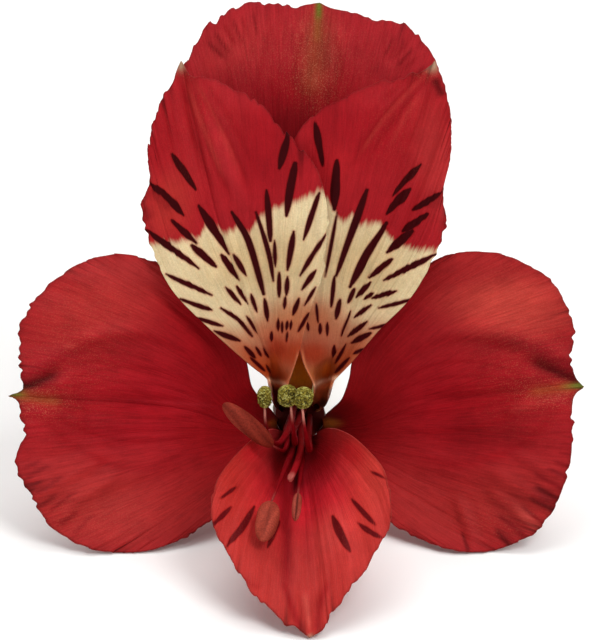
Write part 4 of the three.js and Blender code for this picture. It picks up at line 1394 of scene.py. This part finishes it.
# %% Mix the small finishes
def plain_skin(name, roughness, shine, scale, depth, contrast):
    """A skin whose colour comes from the mesh, with an unevenness of a scale and depth in mm."""
    material, tree = new_material(name)
    pigment = node(tree, "Attribute", attribute_name="pigment").outputs["Color"]
    spot = node(tree, "Attribute", attribute_name="spot_place").outputs["Vector"]
    inputs = {"Vector": spot, "Scale": 1 / scale, "Detail": 3.0, "Roughness": 0.6}
    grain = node(tree, "TexNoise", inputs).outputs["Fac"]
    tones = {"From Min": 0.3, "From Max": 0.7, "To Min": 1 - contrast, "To Max": 1 + contrast}
    shade = node(tree, "MapRange", {"Value": grain, **tones}).outputs[0]
    toned = node(tree, "VectorMath", {0: pigment, "Scale": shade}, operation="SCALE").outputs[0]
    bump = node(tree, "Bump", {"Height": grain, "Strength": 0.6, "Distance": depth * MM}).outputs[0]
    look = {"Base Color": toned, "Normal": bump, "Roughness": roughness, "IOR": 1.4}
    surface = node(tree, "BsdfPrincipled", {**look, "Specular IOR Level": shine})
    node(tree, "OutputMaterial", {"Surface": surface.outputs[0]})
    return material


moist_stalklet = plain_skin("moist_filament", 0.65, 0.06, 0.4, 0.03, 0.15)
pollen_powder = plain_skin("dry_pollen_powder", 0.95, 0.02, 0.05, 0.06, 0.36)
leathery_anther = plain_skin("leathery_anther_skin", 0.65, 0.1, 0.16, 0.08, 0.3)
waxy_ovary = plain_skin("waxy_green_skin", 0.5, 0.08, 0.5, 0.05, 0.16)

# %% Place the stamens
STAMENS = [
    {"path": [[-0.5, 0.95, 0], [-0.75, 0.4, 5], [-0.9, -0.5, 10], [-1.4, -1.7, 15], [-2.3, -2.6, 19],
              [-3.1, -1.9, 21.4], [-3.45, -0.3, 22.9], [-3.5, 1.1, 23.5]],
     "tip": [-3.5, 3.2, 24.15], "size": (0.52, 0.56), "skin": None},
    {"path": [[0.5, 0.95, 0], [0, -0.2, 5], [-0.65, -1.5, 10], [-0.55, -2.2, 15], [-0.5, -2.5, 19.5],
              [-0.6, -1.6, 23], [-0.75, -0.2, 25.2], [-0.9, 1.3, 26.2]],
     "tip": [-1.55, 3.3, 26.75], "size": (0.79, 0.75), "skin": None},
    {"path": [[0.95, -0.2, 0], [0.95, -1.15, 5], [0.85, -2.3, 10], [0.95, -3, 16], [0.9, -3.15, 20.5],
              [0.65, -1.9, 24.4], [0.4, -0.4, 26.7], [0.24, 1.1, 27.7]],
     "tip": [0.48, 3.15, 28.35], "size": (0.73, 0.7), "skin": None},
    {"path": [[-0.95, -0.2, 0], [-1.15, -0.8, 5], [-1.4, -1.5, 10], [-1.35, -2.7, 16], [-1.7, -3.3, 19.5],
              [-2.7, -2.75, 22.4]],
     "tip": [-7.6, 1.5, 25], "size": (0.94, 0.7), "groove": 0.04, "skin": ("#5f180f", "#882f21")},
    {"path": [[-0.6, -1.05, 0], [-0.65, -1.9, 5], [-0.7, -2.7, 10], [-0.9, -3.6, 16],
              [-1.5, -5, 21.5], [-2.3, -6.9, 26.5], [-2.8, -8.1, 28.8]],
     "tip": [-3.68, -11.85, 32.4], "size": (1.12, 0.6), "groove": 0.08, "skin": ("#74261a", "#9c3d2e")},
    {"path": [[0.6, -1.05, 0], [0.4, -2.1, 5], [0.15, -3.1, 10], [0.15, -4.2, 16], [0.05, -5.5, 21],
              [-0.2, -7.4, 26.2]],
     "tip": [-0.47, -9.95, 29.4], "size": (0.48, 0.46), "groove": 0.4, "skin": ("#802d20", "#9f4538")},
]
print("stamens:", len(STAMENS))

# %% Grow a stalklet and the filaments
FILAMENT_RADII = [0.32, 0.33, 0.35, 0.34, 0.24, 0.11]  # mm, from the foot to the anther
FILAMENT_RINGS, FILAMENT_SIDES = 61, 16
# Deep red at the root, darker there as painted shade of the throat; pale pink near a burst anther
FILAMENT_ROOT_RED_AND_SHADE, FILAMENT_PALE, FILAMENT_RED = "#680609", "#c98374", "#76060f"
PALENESS_IF_BURST, PALENESS_IF_CLOSED = 0.95, 0.12
GRAIN_SHARES = [1, 1, 0.4]  # the grain is drawn out along a stalklet


def stretched_path(points):
    """The path with its foot let a little into the ovary's top."""
    return [np.array(points[0]) - [0, 0, ROOT_OVERLAP], *points]


def build_stalklet(name, node_name, line, radius, sides, colours):
    """A moist stalklet along a line, with one colour for each of its rings."""
    body = round_body(line, radius, sides)
    colours = opaque(np.repeat(colours, sides, 0))
    pigment = with_ends(colours, colours[0], colours[-1])
    layers = {"pigment": pigment, "spot_place": body[0] * GRAIN_SHARES}
    new_piece(name, body, moist_stalklet, node_name, layers)


def build_filament(number, stamen):
    share = np.linspace(0, 1, FILAMENT_RINGS)
    line = smooth_curve(stretched_path(stamen["path"]))(share)
    radius = run_of(FILAMENT_RADII)(share)[:, None]
    most = PALENESS_IF_CLOSED if stamen["skin"] else PALENESS_IF_BURST
    paleness = most * smoothstep(0.925, 0.985, share)
    colours = mixed(linear(FILAMENT_ROOT_RED_AND_SHADE), linear(FILAMENT_RED), smoothstep(0.3, 0.75, share)[:, None])
    colours = mixed(colours, linear(FILAMENT_PALE), paleness[:, None])
    name = f"filament_{number}"
    build_stalklet(f"{name}_stalklet", name, line, radius, FILAMENT_SIDES, colours)


# %% [markdown]
# The pollen could be hundreds of separate grains, but each crumb in the photograph is a lump of
# many grains stuck together. So the anther's own surface is raised into 1000 round crumbs:
# every point is pushed out to the nearest crumb's dome, each crumb has its own tone, and the
# low places between the crumbs are painted dark as painted shade.

# %% Build the stamens
CRUMB_RADIUS = 0.09  # mm
CRUMB_SIZES = (0.5, 1.3)
CRUMB_LIFT = 1.6  # how far a crumb stands out, over its own height
CRUMBS = 1000
POLLEN_TONES = ["#685b20", "#7c7332", "#9e9854", "#8a7c32", "#5d5420"]
# Painted shade in the low places between crumbs
POLLEN_GAP_SHADE = "#443d1e"
# Painted shade in the closed anthers' grooves, and how strongly it darkens them
ANTHER_GROOVE_SHADE, GROOVE_SHADE_STRENGTH = "#35100b", 0.8
CLOSED_GRID, BURST_GRID = (90, 64), (100, 128)  # rings and sides
ANTHER_BEND = 0.35
ANTHER_BLUNTNESS = 2.6  # 2 would be an ellipse seen from the side
GROOVE_NARROWNESS = 24
SKIN_LUMPS, POWDER_LUMPS = 0.02, 0.12


def crumble(points, middles, number):
    """Raises a body's points into crumbs, and says each point's colour, dark as painted shade between the
    crumbs.
    """
    rng = np.random.default_rng(number * 7)
    centres = points[rng.integers(0, len(points), CRUMBS)]
    sizes = CRUMB_RADIUS * rng.uniform(*CRUMB_SIZES, CRUMBS)
    tones = np.array([linear(tone) for tone in POLLEN_TONES])[rng.integers(0, len(POLLEN_TONES), CRUMBS)]
    gap_shade = linear(POLLEN_GAP_SHADE)
    lift = np.zeros(len(points))
    colours = np.tile(gap_shade, (len(points), 1))
    for centre, size, tone in zip(centres, sizes, tones):
        dome = np.sqrt(np.maximum(0, size**2 - ((points - centre) ** 2).sum(1)))
        higher = dome > lift
        lift[higher] = dome[higher]
        colours[higher] = mixed(gap_shade, tone, smoothstep(0, 0.6, dome / size)[higher, None])
    return points + unit(points - middles) * CRUMB_LIFT * lift[:, None], colours


def build_anther(number, stamen):
    wide, thick = stamen["size"]
    skin = stamen["skin"]
    rings, sides = CLOSED_GRID if skin else BURST_GRID
    top, tip = np.array(stamen["path"][-1]), np.array(stamen["tip"])
    axis = unit(tip - top)
    front = unit(np.array([0, 0, 1.0]) - axis * axis[2])
    side = np.cross(front, axis)
    share = (1 - np.cos(np.pi * np.linspace(0.01, 0.99, rings))) / 2
    bend = ANTHER_BEND if skin else 0
    line = mixed(top, tip, share[:, None]) + front * (bend * np.sin(np.pi * share))[:, None]
    angle = angles_round(sides)
    swell = np.sqrt(np.maximum(0, 1 - np.abs(2 * share - 1) ** ANTHER_BLUNTNESS))[:, None]
    oval_radius = (wide * thick) / np.hypot(thick * np.cos(angle), wide * np.sin(angle))
    in_groove = np.abs(np.sin(angle)) ** GROOVE_NARROWNESS
    radius = swell * oval_radius * (1 - stamen.get("groove", 0) * in_groove * swell)
    # A heap of powder is lumpy, and a closed anther is a little uneven.
    lumps = wander(share[:, None] * 4 + 1.3 * np.cos(angle) + number, 1, 5)
    lumps += wander(2.2 * np.sin(angle) + share[:, None], 1, 6)
    radius = radius * (1 + (SKIN_LUMPS if skin else POWDER_LUMPS) * lumps)
    ways = (np.broadcast_to(side, line.shape), np.broadcast_to(front, line.shape))
    points, faces, uv = round_body(line, radius, sides, ways)
    if skin:
        # Painted shade: the groove is darker where it is deeper.
        depth = np.broadcast_to(in_groove * min(1, 4 * stamen["groove"]), (rings, sides))
        depth = np.concatenate([depth.ravel(), [0, 0]])[:, None]
        streaky = 0.5 + 0.5 * wander(points @ side * 3 + points @ axis * 0.6, 1, number)[:, None]
        colours = mixed(linear(skin[0]), linear(skin[1]), streaky)
        colours = mixed(colours, linear(ANTHER_GROOVE_SHADE), GROOVE_SHADE_STRENGTH * depth)
    else:
        middles = np.vstack([np.repeat(line, sides, 0), line[:1] - axis, line[-1:] + axis])
        points, colours = crumble(points, middles, number)
    layers = {"pigment": opaque(colours), "spot_place": points}
    name = f"anther_{number}"
    material, slot = (leathery_anther, "anther") if skin else (pollen_powder, "pollen")
    new_piece(f"{name}_lobes", (points, faces, uv), material, name, layers)


for number, stamen in enumerate(STAMENS, start=1):
    build_filament(number, stamen)
    build_anther(number, stamen)
    print("stamen", number, "is", "closed" if stamen["skin"] else "burst")

# %% [markdown]
# The style is a stouter red stalklet in the middle, and its pale pink end is parting into the
# three lobes of the stigma.

# %% Build the style
STYLE_PATH = [[0, 0, 0], [0.05, -1, 5], [0.1, -2, 10], [0.1, -2.9, 15], [-0.1, -3.9, 19],
              [-0.5, -5, 22], [-1, -6.1, 24.3]]
STYLE_RADIUS = 0.4
STYLE_RINGS, STYLE_SIDES = 81, 24
STYLE_RED, STIGMA_PINK = "#8e0f18", "#a8514a"
STIGMA_START = 0.93
STIGMA_LOBES, STIGMA_LOBE_HEIGHT = 3, 0.2

share = np.linspace(0, 1, STYLE_RINGS)
opening = smoothstep(STIGMA_START, 1, share)[:, None]
lobes = STIGMA_LOBE_HEIGHT * np.cos(STIGMA_LOBES * angles_round(STYLE_SIDES))
radius = STYLE_RADIUS * (1 - 0.2 * share[:, None] + opening * (0.05 + lobes))
radius = radius * np.sqrt(1 - 0.7 * smoothstep(0.975, 1, share)[:, None])
# The style's root is deep red too, darker as painted shade of the throat.
colours = mixed(linear(FILAMENT_ROOT_RED_AND_SHADE), linear(STYLE_RED), smoothstep(0.7, 0.95, share)[:, None])
colours = mixed(colours, linear(STIGMA_PINK), smoothstep(0.94, 0.98, share)[:, None])
line = smooth_curve(stretched_path(STYLE_PATH))(share)
build_stalklet("style_and_stigma", "style", line, radius, STYLE_SIDES, colours)
print("style, mm long:", round(float(np.linalg.norm(np.diff(line, axis=0), axis=1).sum()), 1))

# %% [markdown]
# ## The ovary and the stalk
# The ovary sits below the tepals, so it is seen only from behind and the sides: a waxy green
# barrel with six blunt ribs that narrows into the stalk. The stalk bends down to the table and
# ends in a paler cut.

# %% Build the ovary and the stalk
OVARY_LENGTH, OVARY_RADIUS = 7.4, 2.7
OVARY_PROFILE = [0.94, 1.01, 1, 0.9, 0.72, 0.5]
RIBS, OVARY_RIB_HEIGHT = 6, 0.09
STALK_RADIUS, STALK_CLEARANCE = 1.05, 0.05
STALK_END = (2.6, -20)
STALK_BENDS = [(0.15, 0.6), (0.4, 0.75), (1, 1)]  # shares of its end's x and z
HEART_HEIGHT = heart[2] / MM
OVARY_RINGS, OVARY_SIDES = 110, 72
OVARY_GREEN, RIDGE_GREEN, STALK_GREEN = "#5d6a26", "#8a9345", "#76803c"
# Dark red where the tepals leave the ovary and on its top cap: partly its own colour, partly painted shade
OVARY_STAIN_AND_SHADE, OVARY_TOP_STAIN_AND_SHADE, STALK_CUT = "#4a0f08", "#4a0508", "#b8b98a"


def laid_on_table(x, z):
    """The point of the bloom's frame at x and z where the stalk's axis rests over the table."""
    height = STALK_RADIUS + STALK_CLEARANCE - HEART_HEIGHT
    return [x, (height - z * math.sin(FACE_TILT)) / math.cos(FACE_TILT), z]


axis_points = [[0, 0, -SEAT_GAP], [0, 0, -OVARY_LENGTH / 2], [0, 0, -OVARY_LENGTH]]
for x_share, z_share in STALK_BENDS:
    axis_points.append(laid_on_table(x_share * STALK_END[0], z_share * STALK_END[1]))
share = np.linspace(0, 1, OVARY_RINGS)
line = smooth_curve(axis_points)(share)
whole = np.linalg.norm(np.diff(line, axis=0), axis=1).sum()
down = np.minimum(1, share * whole / OVARY_LENGTH)[:, None]
ridges = np.cos(RIBS * angles_round(OVARY_SIDES))[None]
rib = 1 + OVARY_RIB_HEIGHT * np.sin(np.pi * down) * ridges
radius = np.where(down < 1, OVARY_RADIUS * run_of(OVARY_PROFILE)(down) * rib, 0)
body = round_body(line, np.maximum(STALK_RADIUS, radius), OVARY_SIDES)

ridge_share = (0.5 + 0.5 * ridges) * (1 - down)
colours = mixed(linear(OVARY_GREEN), linear(RIDGE_GREEN), ridge_share[..., None])
colours = mixed(colours, linear(STALK_GREEN), smoothstep(0.8, 1, down)[..., None])
# Where the tepals leave it, the ovary is dark red: partly its own colour, and partly painted shade of the
# throat.
stain = 1 - smoothstep(0.1, 0.42, down)
colours = opaque(mixed(colours, linear(OVARY_STAIN_AND_SHADE), stain[..., None]))
pigment = with_ends(colours, socket_colour(OVARY_TOP_STAIN_AND_SHADE), socket_colour(STALK_CUT))
layers = {"pigment": pigment, "spot_place": body[0]}
new_piece("ovary_and_cut_stalk", body, waxy_ovary, "ovary_and_stalk", layers)
print("ovary and stalk, mm long:", round(float(whole), 1))
